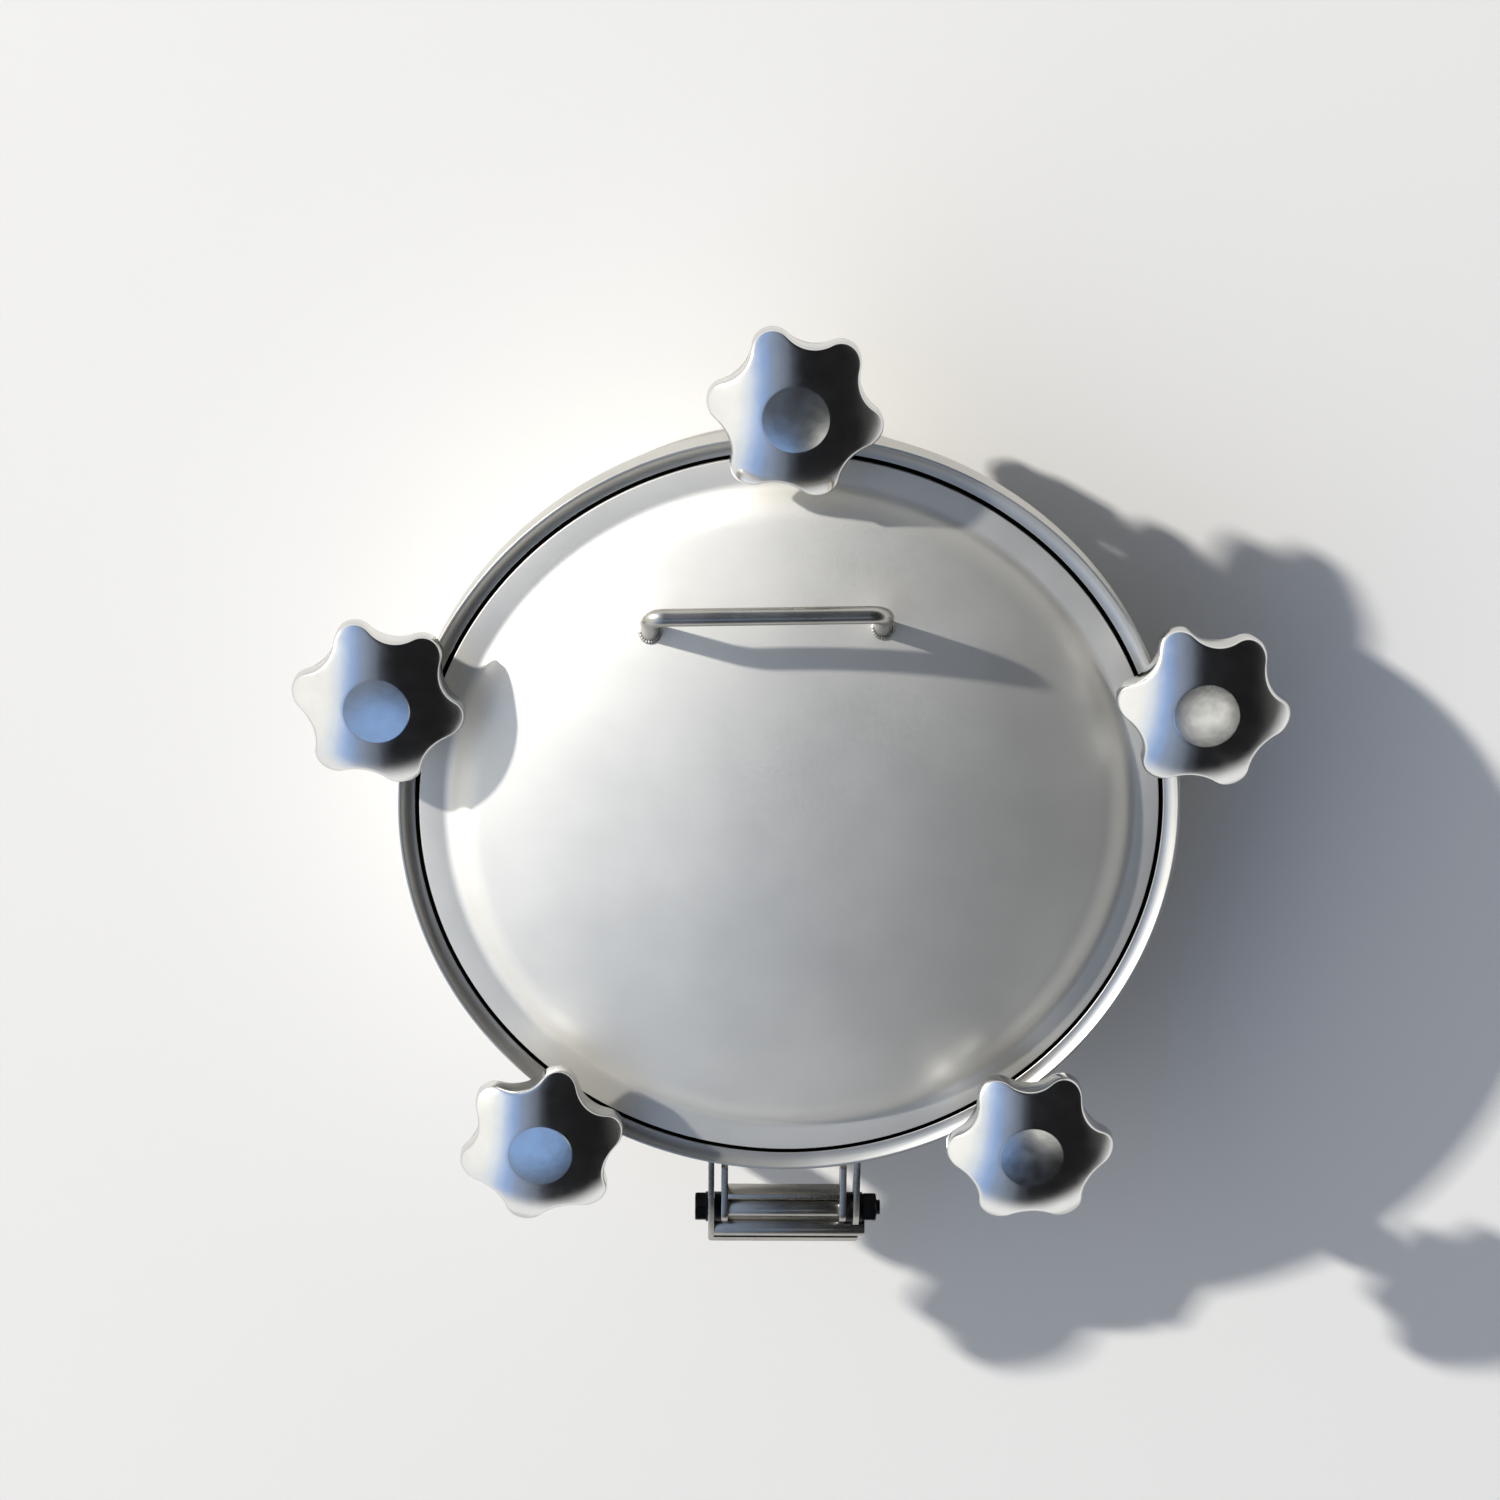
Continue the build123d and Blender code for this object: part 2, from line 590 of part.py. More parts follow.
def build_clamps():
    shell = build_knob_shell()
    hub = build_knob_hub()
    spindle = build_spindle()
    ear = build_ear()
    claw = build_claw()
    claw_nut = build_claw_nut()
    claw_washer = tube(CLAW_WASHER_DIAMETER / 2, stem_bore_r, claw_nut_top, claw_washer_top)
    washer_bore_r = spindle_r + THRUST_WASHER_GAP
    thrust_washer = tube(THRUST_WASHER_DIAMETER / 2, washer_bore_r, ear_top, washer_top)
    washers = []
    for k in range(CLAMP_COUNT):
        angle = clamp_start + clamp_step * k
        outward = Rot(0, 0, angle) * Pos(clamp_circle_r, 0, 0)
        place = outward * Rot(0, 0, -angle)
        # the dog rests turned aside, towards the hinge, clear of the neck's flange
        aside = 90 if angle < clamp_start + 180 else -90
        number = k + 1
        parts[f"clamp_ear_{number}"] = outward * ear
        parts[f"knob_shell_{number}"] = place * Rot(0, 0, KNOB_TURNS[k % len(KNOB_TURNS)]) * shell
        parts[f"knob_hub_{number}"] = place * hub
        parts[f"spindle_{number}"] = outward * spindle
        parts[f"claw_{number}"] = outward * Rot(0, 0, aside) * claw
        parts[f"claw_washer_{number}"] = place * claw_washer
        parts[f"claw_nut_{number}"] = outward * claw_nut
        washers.append(place * thrust_washer)
    parts["thrust_washers"] = Compound(children=washers)


build_neck()
build_dish()
build_rim()
build_handle()
build_strap()
build_bracket()
build_hinge_fasteners()
build_clamps()

os.makedirs("parts", exist_ok=True)
for name, shape in parts.items():
    export_step(shape, f"parts/{name}.step")
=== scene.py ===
"""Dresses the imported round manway: satin neck and lid, polished star knobs, hinge and clamps.

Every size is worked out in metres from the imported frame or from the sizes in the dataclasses
below, which are in millimetres and turned to metres by MM.
"""
import logging
import math
from dataclasses import dataclass, field, replace
from enum import Enum
from typing import Iterable, Optional, Sequence, Union

import bmesh
import bpy
from bmesh.types import BMEdge, BMesh, BMVert
from bpy.types import Material, Node, NodeSocket, NodeTree, Object, Scene
from mathutils import Matrix, Vector


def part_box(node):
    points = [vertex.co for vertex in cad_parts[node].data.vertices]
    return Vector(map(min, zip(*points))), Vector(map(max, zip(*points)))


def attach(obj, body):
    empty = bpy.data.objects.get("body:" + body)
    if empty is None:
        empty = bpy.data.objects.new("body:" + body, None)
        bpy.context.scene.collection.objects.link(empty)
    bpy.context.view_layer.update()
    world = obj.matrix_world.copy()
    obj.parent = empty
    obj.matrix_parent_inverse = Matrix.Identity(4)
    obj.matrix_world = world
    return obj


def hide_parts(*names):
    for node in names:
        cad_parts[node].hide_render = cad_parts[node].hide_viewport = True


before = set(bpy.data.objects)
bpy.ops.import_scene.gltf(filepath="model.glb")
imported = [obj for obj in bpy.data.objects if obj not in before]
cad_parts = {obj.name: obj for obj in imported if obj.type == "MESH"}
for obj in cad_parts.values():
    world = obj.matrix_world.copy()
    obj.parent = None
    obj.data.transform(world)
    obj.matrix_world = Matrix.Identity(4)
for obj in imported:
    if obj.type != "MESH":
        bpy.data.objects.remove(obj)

LOG = logging.getLogger("manway")
MM = 0.001
KNOB_TURNS = (50.0, 49.0, 15.0, 2.0, 54.0)
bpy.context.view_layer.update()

Point2 = tuple[float, float]
Point3 = tuple[float, float, float]
Colour = tuple[float, float, float, float]


# ---------------------------------------------------------------- materials

def linear(code: str) -> Colour:
    """Turns an sRGB hex colour into linear RGBA.

    Args:
        code: six hex digits, such as "c8c6c1".

    Returns:
        The linear red, green, blue and an alpha of one.
    """
    channels = [int(code[i:i + 2], 16) / 255 for i in (0, 2, 4)]
    light = [c / 12.92 if c <= 0.04045 else ((c + 0.055) / 1.055) ** 2.4 for c in channels]
    return (light[0], light[1], light[2], 1.0)


def add_node(tree: NodeTree, kind: str, inputs: Optional[dict] = None,
             **settings: object) -> Node:
    """Adds one shader node with its settings and links.

    Args:
        tree: the node tree that gets the node.
        kind: the node's type name, without the "ShaderNode" prefix.
        inputs: socket name or number to a value, or to an output socket to link from.
        settings: attributes of the node itself.

    Returns:
        The new node.
    """
    made = tree.nodes.new("ShaderNode" + kind)
    for key, value in settings.items():
        setattr(made, key, value)
    for key, value in (inputs or {}).items():
        if isinstance(value, NodeSocket):
            tree.links.new(value, made.inputs[key])
        else:
            made.inputs[key].default_value = value
    return made


def new_material(name: str) -> tuple[Material, NodeTree]:
    """Makes an empty node material.

    Args:
        name: the material's name.

    Returns:
        The material and its node tree.
    """
    material = bpy.data.materials.new(name)
    material.use_nodes = True
    material.node_tree.nodes.clear()
    return material, material.node_tree


class Grain(Enum):
    """How a metal surface was worked, which sets the direction of its fine marks."""

    BLASTED = "blasted"
    TURNED = "turned"
    DRAWN = "drawn"


@dataclass(frozen=True)
class MetalFinish:
    """A bare metal surface: its colour, gloss and working marks.

    Attributes:
        name: the metal and how its surface was made.
        dark: sRGB hex of the darker patches.
        light: sRGB hex of the lighter patches.
        roughness: lowest and highest roughness over the surface.
        grain: how the surface was worked.
        grain_mm: spacing of the working marks.
        grain_depth_mm: depth of the marks.
        patch_mm: size of the cloudy patches of colour and gloss.
        axis: the axis that turned marks run round or drawn marks run along.
        centre: a point on that axis.
    """

    name: str
    dark: str
    light: str
    roughness: tuple[float, float]
    grain: Grain
    grain_mm: float
    grain_depth_mm: float
    patch_mm: float = 60.0
    axis: str = "Z"
    centre: Point3 = (0.0, 0.0, 0.0)

    def build(self) -> Material:
        """Makes the material, once.

        Returns:
            The material, the same one at every call.
        """
        if self.name in bpy.data.materials:
            return bpy.data.materials[self.name]
        material, tree = new_material(self.name)
        place = add_node(tree, "TexCoord").outputs["Object"]
        patches = add_node(tree, "TexNoise", {
            "Vector": place, "Scale": 1 / (self.patch_mm * MM), "Detail": 3.0, "Roughness": 0.55,
        }).outputs["Fac"]
        marks = self._marks(tree, place)
        colour = add_node(tree, "ValToRGB", {"Fac": patches})
        ramp = colour.color_ramp
        ramp.elements[0].position = 0.30
        ramp.elements[0].color = linear(self.dark)
        ramp.elements[1].position = 0.70
        ramp.elements[1].color = linear(self.light)
        blend = add_node(tree, "Math", {0: marks, 1: 0.6}, operation="MULTIPLY")
        blend = add_node(tree, "Math", {0: patches, 1: 0.4, 2: blend.outputs[0]},
                         operation="MULTIPLY_ADD")
        gloss = add_node(tree, "MapRange", {
            "Value": blend.outputs[0], "From Min": 0.3, "From Max": 0.7,
            "To Min": self.roughness[0], "To Max": self.roughness[1],
        })
        bump = add_node(tree, "Bump", {
            "Height": marks, "Strength": 1.0, "Distance": self.grain_depth_mm * MM,
        })
        shader = add_node(tree, "BsdfPrincipled", {
            "Base Color": colour.outputs["Color"], "Metallic": 1.0,
            "Roughness": gloss.outputs["Result"], "Normal": bump.outputs["Normal"],
        })
        add_node(tree, "OutputMaterial", {"Surface": shader.outputs["BSDF"]})
        return material

    def _marks(self, tree: NodeTree, place: NodeSocket) -> NodeSocket:
        """Adds the nodes that draw the working marks.

        Args:
            tree: the material's nodes.
            place: the socket that gives Object coordinates.

        Returns:
            The socket that gives the marks' height, from 0 to 1.
        """
        pitch = 1 / (self.grain_mm * MM)
        if self.grain is Grain.BLASTED:
            noise = add_node(tree, "TexNoise", {"Vector": place, "Scale": pitch, "Detail": 2.0})
            return noise.outputs["Fac"]
        turn = {"X": (0.0, math.pi / 2, 0.0), "Y": (math.pi / 2, 0.0, 0.0), "Z": (0.0, 0.0, 0.0)}
        centred = add_node(tree, "VectorMath", {0: place, 1: self.centre}, operation="SUBTRACT")
        upright = add_node(tree, "VectorRotate", {
            "Vector": centred.outputs[0], "Rotation": turn[self.axis],
        }, rotation_type="EULER_XYZ")
        if self.grain is Grain.DRAWN:
            squeezed = add_node(tree, "VectorMath", {0: upright.outputs[0], 1: (1, 1, 0.02)},
                                operation="MULTIPLY")
            noise = add_node(tree, "TexNoise", {
                "Vector": squeezed.outputs[0], "Scale": pitch, "Detail": 2.0,
            })
            return noise.outputs["Fac"]
        flat = add_node(tree, "VectorMath", {0: upright.outputs[0], 1: (1, 1, 0)},
                        operation="MULTIPLY")
        radius = add_node(tree, "VectorMath", {0: flat.outputs[0]}, operation="LENGTH")
        bearing = add_node(tree, "VectorMath", {0: flat.outputs[0]}, operation="NORMALIZE")
        height = add_node(tree, "SeparateXYZ", {0: upright.outputs[0]})
        tall = add_node(tree, "Math", {0: height.outputs["Z"], 1: pitch}, operation="MULTIPLY")
        along = add_node(tree, "CombineXYZ", {"Z": tall.outputs[0]})
        sweep = add_node(tree, "VectorMath", {0: bearing.outputs[0], 1: (3, 3, 3),
                                              2: along.outputs[0]}, operation="MULTIPLY_ADD")
        wide = add_node(tree, "Math", {0: radius.outputs["Value"], 1: pitch},
                        operation="MULTIPLY")
        noise = add_node(tree, "TexNoise", {
            "Vector": sweep.outputs[0], "W": wide.outputs[0], "Scale": 1.0, "Detail": 2.0,
        }, noise_dimensions="4D")
        return noise.outputs["Fac"]


@dataclass(frozen=True)
class SiliconeFinish:
    """Moulded white silicone rubber: a soft sheen, faint flow marks and a fine moulded grit."""

    name: str = "silicone_moulded_white"
    dark: str = "c9c8c2"
    light: str = "dcdbd6"
    flow_mm: float = 25
    grit_mm: float = 1.5
    grit_depth_mm: float = 0.05

    def build(self) -> Material:
        """Makes the material, once.

        Returns:
            The material, the same one at every call.
        """
        if self.name in bpy.data.materials:
            return bpy.data.materials[self.name]
        material, tree = new_material(self.name)
        place = add_node(tree, "TexCoord").outputs["Object"]
        flow = add_node(tree, "TexNoise", {"Vector": place, "Scale": 1 / (self.flow_mm * MM)})
        grit = add_node(tree, "TexNoise", {"Vector": place, "Scale": 1 / (self.grit_mm * MM)})
        colour = add_node(tree, "ValToRGB", {"Fac": flow.outputs["Fac"]})
        colour.color_ramp.elements[0].color = linear(self.dark)
        colour.color_ramp.elements[1].color = linear(self.light)
        bump = add_node(tree, "Bump", {"Height": grit.outputs["Fac"],
                                       "Distance": self.grit_depth_mm * MM})
        shader = add_node(tree, "BsdfPrincipled", {
            "Base Color": colour.outputs["Color"], "Roughness": 0.5, "IOR": 1.41,
            "Normal": bump.outputs["Normal"],
        })
        add_node(tree, "OutputMaterial", {"Surface": shader.outputs["BSDF"]})
        return material


# 304 stainless sheet, glass-bead blasted: an even pearl-grey satin with soft, wide highlights
DISH_STEEL = MetalFinish("stainless_bead_blasted", "dedcd6", "e8e6e0", (0.58, 0.66),
                         Grain.BLASTED, 1.2, 0.010, 90.0)
# 304 stainless, turned on a vertical lathe: fine rings that pull the highlight out sideways
RING_STEEL = MetalFinish("stainless_turned_rim", "c8c6c0", "d6d4ce", (0.40, 0.50),
                         Grain.TURNED, 0.6, 0.008, 70.0)
# 304 stainless plate rolled to a tube: the mill's brushed marks run round it
NECK_STEEL = MetalFinish("stainless_rolled_brushed", "aeaca7", "bfbdb8", (0.26, 0.38),
                         Grain.TURNED, 0.8, 0.012, 80.0)
# 304 stainless round rod, satin polished: marks run along the rod
ROD_STEEL = MetalFinish("stainless_drawn_rod", "a7a49d", "b9b6af", (0.24, 0.34),
                        Grain.DRAWN, 0.5, 0.010, 30.0, "X")
# 304 stainless flat bar, cut and linished: straight fine marks and a grey sheen
BAR_STEEL = MetalFinish("stainless_linished_bar", "a9a69f", "bcb9b2", (0.24, 0.36),
                        Grain.DRAWN, 0.5, 0.012, 30.0, "Y")
# 304 stainless casting, mirror polished by hand: sharp reflections with a faint ripple
KNOB_STEEL = MetalFinish("stainless_mirror_polished", "d6d5d2", "e0dfdc", (0.10, 0.19),
                         Grain.BLASTED, 9.0, 0.035, 25.0)
# 304 stainless bar, turned: small bright machined pieces
TURNED_STEEL = MetalFinish("stainless_turned_bar", "b3b1ac", "c6c4c0", (0.18, 0.30),
                           Grain.TURNED, 0.4, 0.010, 15.0)
# steel fastener, black oxide: near black with an oily grey sheen on its edges
OXIDE_STEEL = MetalFinish("steel_black_oxide", "1b1b1c", "2b2a2a", (0.34, 0.48),
                          Grain.BLASTED, 0.8, 0.012, 8.0)
# 304 stainless with painted shade: a nearly black, dull colour laid in the narrow groove round the
#                                   dish flange, standing in for the shadow deep in that gap
GROOVE_SHADE_STEEL = MetalFinish("stainless_seam_heat_tint", "121212", "1e1d1c", (0.55, 0.70),
                         Grain.BLASTED, 1.0, 0.020, 6.0)
# TIG weld bead in 304 stainless, wire brushed: rippled, a shade darker and duller than the sheet
WELD_STEEL = MetalFinish("stainless_weld_bead", "98948b", "b3afa7", (0.40, 0.55),
                         Grain.BLASTED, 1.2, 0.060, 8.0)
SEAL_RUBBER = SiliconeFinish()
Finish = Union[MetalFinish, SiliconeFinish]


# ---------------------------------------------------------------- mesh tools

# a nut's chamfer: its levels down from the face and its radius there, as shares of the flats
CHAMFER_STEPS = (0.0, 0.015, 0.03, 0.045, 0.06, 0.08)
CHAMFER_START = 0.48
CHAMFER_ANGLE = math.radians(30)
SIXTH = math.pi / 3
SHARP = 30.0
HEX_CREASE = 20.0
WELD_CREASE = 60.0
BEAD_SEGMENTS = 10
RIM_STEPS = 256


def settle(mesh: BMesh, name: str, finish: Finish, crease: float = 32.0,
           turn_out: bool = True) -> Object:
    """Turns a bmesh into a dressed object at the origin.

    Args:
        mesh: the shape, in metres in the frame. It is freed.
        name: the piece's name.
        finish: the finish whose material it gets.
        crease: edges that turn more than this many degrees stay sharp.
        turn_out: whether the faces are turned outwards first.

    Returns:
        The new object.
    """
    if turn_out:
        bmesh.ops.recalc_face_normals(mesh, faces=mesh.faces)
    for face in mesh.faces:
        face.smooth = True
    for edge in mesh.edges:
        edge.smooth = edge.calc_face_angle(math.pi) < math.radians(crease)
    data = bpy.data.meshes.new(name)
    mesh.to_mesh(data)
    mesh.free()
    piece = bpy.data.objects.new(name, data)
    bpy.context.scene.collection.objects.link(piece)
    data.materials.append(finish.build())
    return piece


def stand_for(piece: Object, body: str, slot: str, *nodes: str) -> Object:
    """Lets a piece ride on a body and stand for CAD nodes.

    Args:
        piece: the dressed piece.
        body: the body that carries it.
        slot: not used.
        nodes: the CAD nodes that it stands for.

    Returns:
        The same piece.
    """
    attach(piece, body)
    if nodes:
        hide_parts(*nodes)
    LOG.info("%s on %s: %d faces", piece.name, body, len(piece.data.polygons))
    return piece


def metres(points: Iterable[Point2]) -> list[Point2]:
    """Turns an outline in millimetres into metres."""
    return [(r * MM, z * MM) for r, z in points]


def arc(centre: Point2, radius: float, start: float, end: float, count: int) -> list[Point2]:
    """Points on a circle, angles in degrees from the upward direction towards the rim.

    Args:
        centre: the circle's centre as (radius, height).
        radius: its radius.
        start: first angle.
        end: last angle.
        count: number of steps.

    Returns:
        The points from start to end.
    """
    points = []
    for i in range(count + 1):
        angle = math.radians(start + (end - start) * i / count)
        points.append((centre[0] + radius * math.sin(angle), centre[1] + radius * math.cos(angle)))
    return points


def eased(corners: Sequence[Point2], radius: float, steps: int = 3) -> list[Point2]:
    """Rounds every corner of a closed outline with a small arc.

    Args:
        corners: the outline's corners.
        radius: the rounding, less where a side is too short for it.
        steps: segments on each corner.

    Returns:
        The rounded outline.
    """
    out: list[Point2] = []
    count = len(corners)
    for i in range(count):
        before = Vector(corners[i - 1])
        here = Vector(corners[i])
        after = Vector(corners[(i + 1) % count])
        if here.x < 1e-9:
            out.append(tuple(here))
            continue
        reach = min(radius, 0.45 * (before - here).length, 0.45 * (after - here).length)
        one = here + (before - here).normalized() * reach
        two = here + (after - here).normalized() * reach
        for step in range(steps + 1):
            t = step / steps
            out.append(tuple(one * (1 - t) ** 2 + here * 2 * t * (1 - t) + two * t ** 2))
    return out


def through(start: Point2, middle: Point2, end: Point2, count: int) -> list[Point2]:
    """Points on a smooth curve from start to end that passes through a middle point.

    Args:
        start: the first point.
        middle: the point halfway along.
        end: the last point.
        count: number of steps.

    Returns:
        The points between start and end, without the end.
    """
    pull = Vector(middle) * 2 - (Vector(start) + Vector(end)) / 2
    points = []
    for i in range(count):
        t = i / count
        points.append(tuple(Vector(start) * (1 - t) ** 2 + pull * 2 * t * (1 - t)
                            + Vector(end) * t ** 2))
    return points


def spun(outline: Iterable[Point2], steps: int = 192, closed: bool = True,
         centre: Point2 = (0.0, 0.0)) -> BMesh:
    """Spins an outline of (radius, height) round an upright axis.

    Args:
        outline: the outline's points.
        steps: segments round the axis.
        closed: whether the last point joins the first.
        centre: where the axis stands.

    Returns:
        The closed shape.
    """
    mesh = bmesh.new()
    verts = [mesh.verts.new((centre[0] + r, centre[1], z)) for r, z in outline]
    pairs = list(zip(verts, verts[1:]))
    if closed:
        pairs.append((verts[-1], verts[0]))
    edges = [mesh.edges.new(pair) for pair in pairs]
    bmesh.ops.spin(mesh, geom=verts + edges, cent=(centre[0], centre[1], 0), axis=(0, 0, 1),
                   angle=2 * math.pi, steps=steps, use_merge=True)
    bmesh.ops.remove_doubles(mesh, verts=mesh.verts, dist=1e-6)
    bmesh.ops.dissolve_degenerate(mesh, edges=mesh.edges, dist=1e-7)
    return mesh


def drawn_on(mesh: BMesh, edges: Sequence[BMEdge]) -> tuple[list[BMVert], list[BMEdge]]:
    """Extrudes a rim of edges in place, ready to be moved.

    Args:
        mesh: the shape that grows.
        edges: its rim.

    Returns:
        The new rim's vertices and edges.
    """
    grown = bmesh.ops.extrude_edge_only(mesh, edges=edges)["geom"]
    return ([g for g in grown if isinstance(g, BMVert)],
            [g for g in grown if isinstance(g, BMEdge)])


def hexagon(flats: float, length: float, chamfers: tuple[bool, bool], bore: float = 0.0,
            steps: int = 96) -> BMesh:
    """A hexagon standing on the Z axis, with turned chamfers on its chosen ends.

    Args:
        flats: distance across the flats in metres.
        length: height in metres.
        chamfers: whether the bottom and the top are chamfered.
        bore: radius of a hole through it in metres, or none.
        steps: segments round the axis.

    Returns:
        The closed shape.
    """
    low = [d * flats for d in CHAMFER_STEPS] if chamfers[0] else [0.0]
    high = [length - d * flats for d in reversed(CHAMFER_STEPS)] if chamfers[1] else [length]
    slope = 1 / math.tan(CHAMFER_ANGLE)
    mesh = bmesh.new()
    bmesh.ops.create_circle(mesh, cap_ends=not bore, radius=1.0, segments=steps)
    ring = list(mesh.verts)
    first = edges = list(mesh.edges)
    for level, height in enumerate(low + high):
        if level:
            ring, edges = drawn_on(mesh, edges)
        depths = [height] * chamfers[0] + [length - height] * chamfers[1]
        limit = flats * CHAMFER_START + slope * min(depths) if depths else flats
        for vert in ring:
            bearing = math.atan2(vert.co.y, vert.co.x)
            across = (bearing + SIXTH / 2) % SIXTH - SIXTH / 2
            radius = min(limit, flats / 2 / math.cos(across))
            vert.co = (radius * math.cos(bearing), radius * math.sin(bearing), height)
    if not bore:
        bmesh.ops.contextual_create(mesh, geom=edges)
        return mesh
    rims = []
    for rim in (first, edges):
        ring, edges = drawn_on(mesh, rim)
        for vert in ring:
            vert.co.xy = vert.co.xy.normalized() * bore
        rims += edges
    bmesh.ops.bridge_loops(mesh, edges=rims)
    return mesh


def merged(*meshes: BMesh) -> BMesh:
    """Joins several closed shapes into the first one and frees the others.

    Args:
        meshes: the shapes.

    Returns:
        The first one, with the others in it.
    """
    first = meshes[0]
    for other in meshes[1:]:
        data = bpy.data.meshes.new("part")
        other.to_mesh(data)
        other.free()
        first.from_mesh(data)
        bpy.data.meshes.remove(data)
    return first


def placed(mesh: BMesh, angle: float, axis: str, vec: Sequence[float]) -> BMesh:
    """Turns a shape about an axis through the origin and then moves it.

    Args:
        mesh: the shape.
        angle: the turn in radians.
        axis: "X", "Y" or "Z".
        vec: the move.

    Returns:
        The same shape.
    """
    bmesh.ops.rotate(mesh, verts=mesh.verts, cent=(0, 0, 0),
                     matrix=Matrix.Rotation(angle, 3, axis))
    bmesh.ops.translate(mesh, verts=mesh.verts, vec=vec)
    return mesh


def weld_bead(path: Sequence[Vector], width: float, ripple: float = 0.10,
              pitch: float = 0.0016, closed: bool = False) -> BMesh:
    """A rippled weld bead along a path.

    Args:
        path: points in metres, about a third of the pitch apart.
        width: the bead's diameter in metres.
        ripple: how much its radius swells at each ripple, as a share.
        pitch: spacing of the ripples in metres.
        closed: whether the path ends where it starts.

    Returns:
        The closed shape.
    """
    mesh = bmesh.new()
    order = mesh.verts.layers.int.new("order")
    bmesh.ops.create_circle(mesh, cap_ends=not closed, radius=width / 2, segments=BEAD_SEGMENTS)
    ring = list(mesh.verts)
    edges = first = list(mesh.edges)
    shape = [v.co.copy() for v in ring]
    for i, vert in enumerate(ring):
        vert[order] = i
    run = 0.0
    for k, point in enumerate(path):
        ahead = path[(k + 1) % len(path)] if closed or k + 1 < len(path) else point
        behind = path[k - 1] if closed or k else point
        if k:
            run += (point - path[k - 1]).length
            ring, edges = drawn_on(mesh, edges)
        swell = 1 + ripple * (math.cos(2 * math.pi * run / pitch) - 1)
        turn = (ahead - behind).to_track_quat("Z", "Y")
        for vert in ring:
            vert.co = point + turn @ (shape[vert[order]] * swell)
    if closed:
        bmesh.ops.bridge_loops(mesh, edges=first + edges)
    else:
        bmesh.ops.contextual_create(mesh, geom=edges)
    return mesh


def put(mesh: BMesh, node: str, body: str, slot: str, finish: Finish,
        crease: float = 32.0) -> Object:
    """Puts a modelled shape in a CAD node's place.

    Args:
        mesh: the shape, in metres in the frame.
        node: the CAD node.
        body: the body that carries it.
        slot: the record's material slot.
        finish: its finish.
        crease: edges that turn more than this many degrees stay sharp.

    Returns:
        The new piece, named after the node.
    """
    return stand_for(settle(mesh, node + "_fine", finish, crease), body, slot, node)


def dress(node: str, body: str, slot: str, finish: Finish, edge_mm: float,
          segments: int = 2) -> None:
    """Copies a CAD node, merges its triangles into clean faces and eases its edges.

    Args:
        node: the CAD node, in whose place the copy goes.
        body: the body that carries it.
        slot: the record's material slot.
        finish: its finish.
        edge_mm: width of the eased edge in millimetres.
        segments: steps across each eased edge.
    """
    mesh = bmesh.new()
    mesh.from_mesh(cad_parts[node].data)
    bmesh.ops.remove_doubles(mesh, verts=mesh.verts, dist=2e-6)
    bmesh.ops.dissolve_limit(mesh, angle_limit=math.radians(1.0), verts=mesh.verts,
                             edges=mesh.edges, delimit={"NORMAL"})
    limit = math.radians(SHARP)
    sharp = [e for e in mesh.edges if e.is_manifold and e.calc_face_angle(0) > limit]
    bmesh.ops.bevel(mesh, geom=sharp, offset=edge_mm * MM, offset_type="OFFSET",
                    affect="EDGES", segments=segments, profile=0.5, material=-1,
                    clamp_overlap=True)
    piece = settle(mesh, node + "_fine", finish, crease=SHARP + 5, turn_out=False)
    stand_for(piece, body, slot, node)


def middle_of(node: str) -> tuple[Vector, Vector, Vector]:
    """Returns a CAD node's lowest corner, highest corner and middle."""
    low, high = (Vector(corner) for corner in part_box(node))
    return low, high, (low + high) / 2


# ---------------------------------------------------------------- neck

@dataclass
class Neck:
    """The short tube with its top flange and the weld between them."""

    bore: float = 200.0
    wall: float = 3.0
    flange: float = 220.0
    flange_under: float = 94.0
    flange_gap: float = 0.02
    height: float = 100.0
    tube_ease: float = 0.5
    flange_ease: float = 0.9
    bead: float = 3.2
    ripples: int = 400
    steps_per_ripple: int = 3

    def build(self) -> None:
        """Models the tube, its flange and the weld bead under it."""
        outer = self.bore + self.wall
        inner = outer + self.flange_gap
        tube = [(self.bore, 0), (outer, 0), (outer, self.height), (self.bore, self.height)]
        mesh = spun(eased(metres(tube), self.tube_ease * MM), RIM_STEPS)
        put(mesh, "neck_tube", "neck", "satin_stainless", NECK_STEEL)
        ring = [(inner, self.flange_under), (self.flange, self.flange_under),
                (self.flange, self.height), (inner, self.height)]
        mesh = spun(eased(metres(ring), self.flange_ease * MM), RIM_STEPS)
        put(mesh, "neck_flange", "neck", "satin_stainless", RING_STEEL)
        steps = self.ripples * self.steps_per_ripple
        turns = [2 * math.pi * i / steps for i in range(steps)]
        path = [Vector((math.cos(turn), math.sin(turn), 0)) * outer * MM
                + Vector((0, 0, self.flange_under * MM)) for turn in turns]
        weld = weld_bead(path, self.bead * MM, pitch=2 * math.pi * outer * MM / self.ripples,
                         closed=True)
        stand_for(settle(weld, "neck_weld", WELD_STEEL, WELD_CREASE), "neck", "satin_stainless")


# ---------------------------------------------------------------- lid

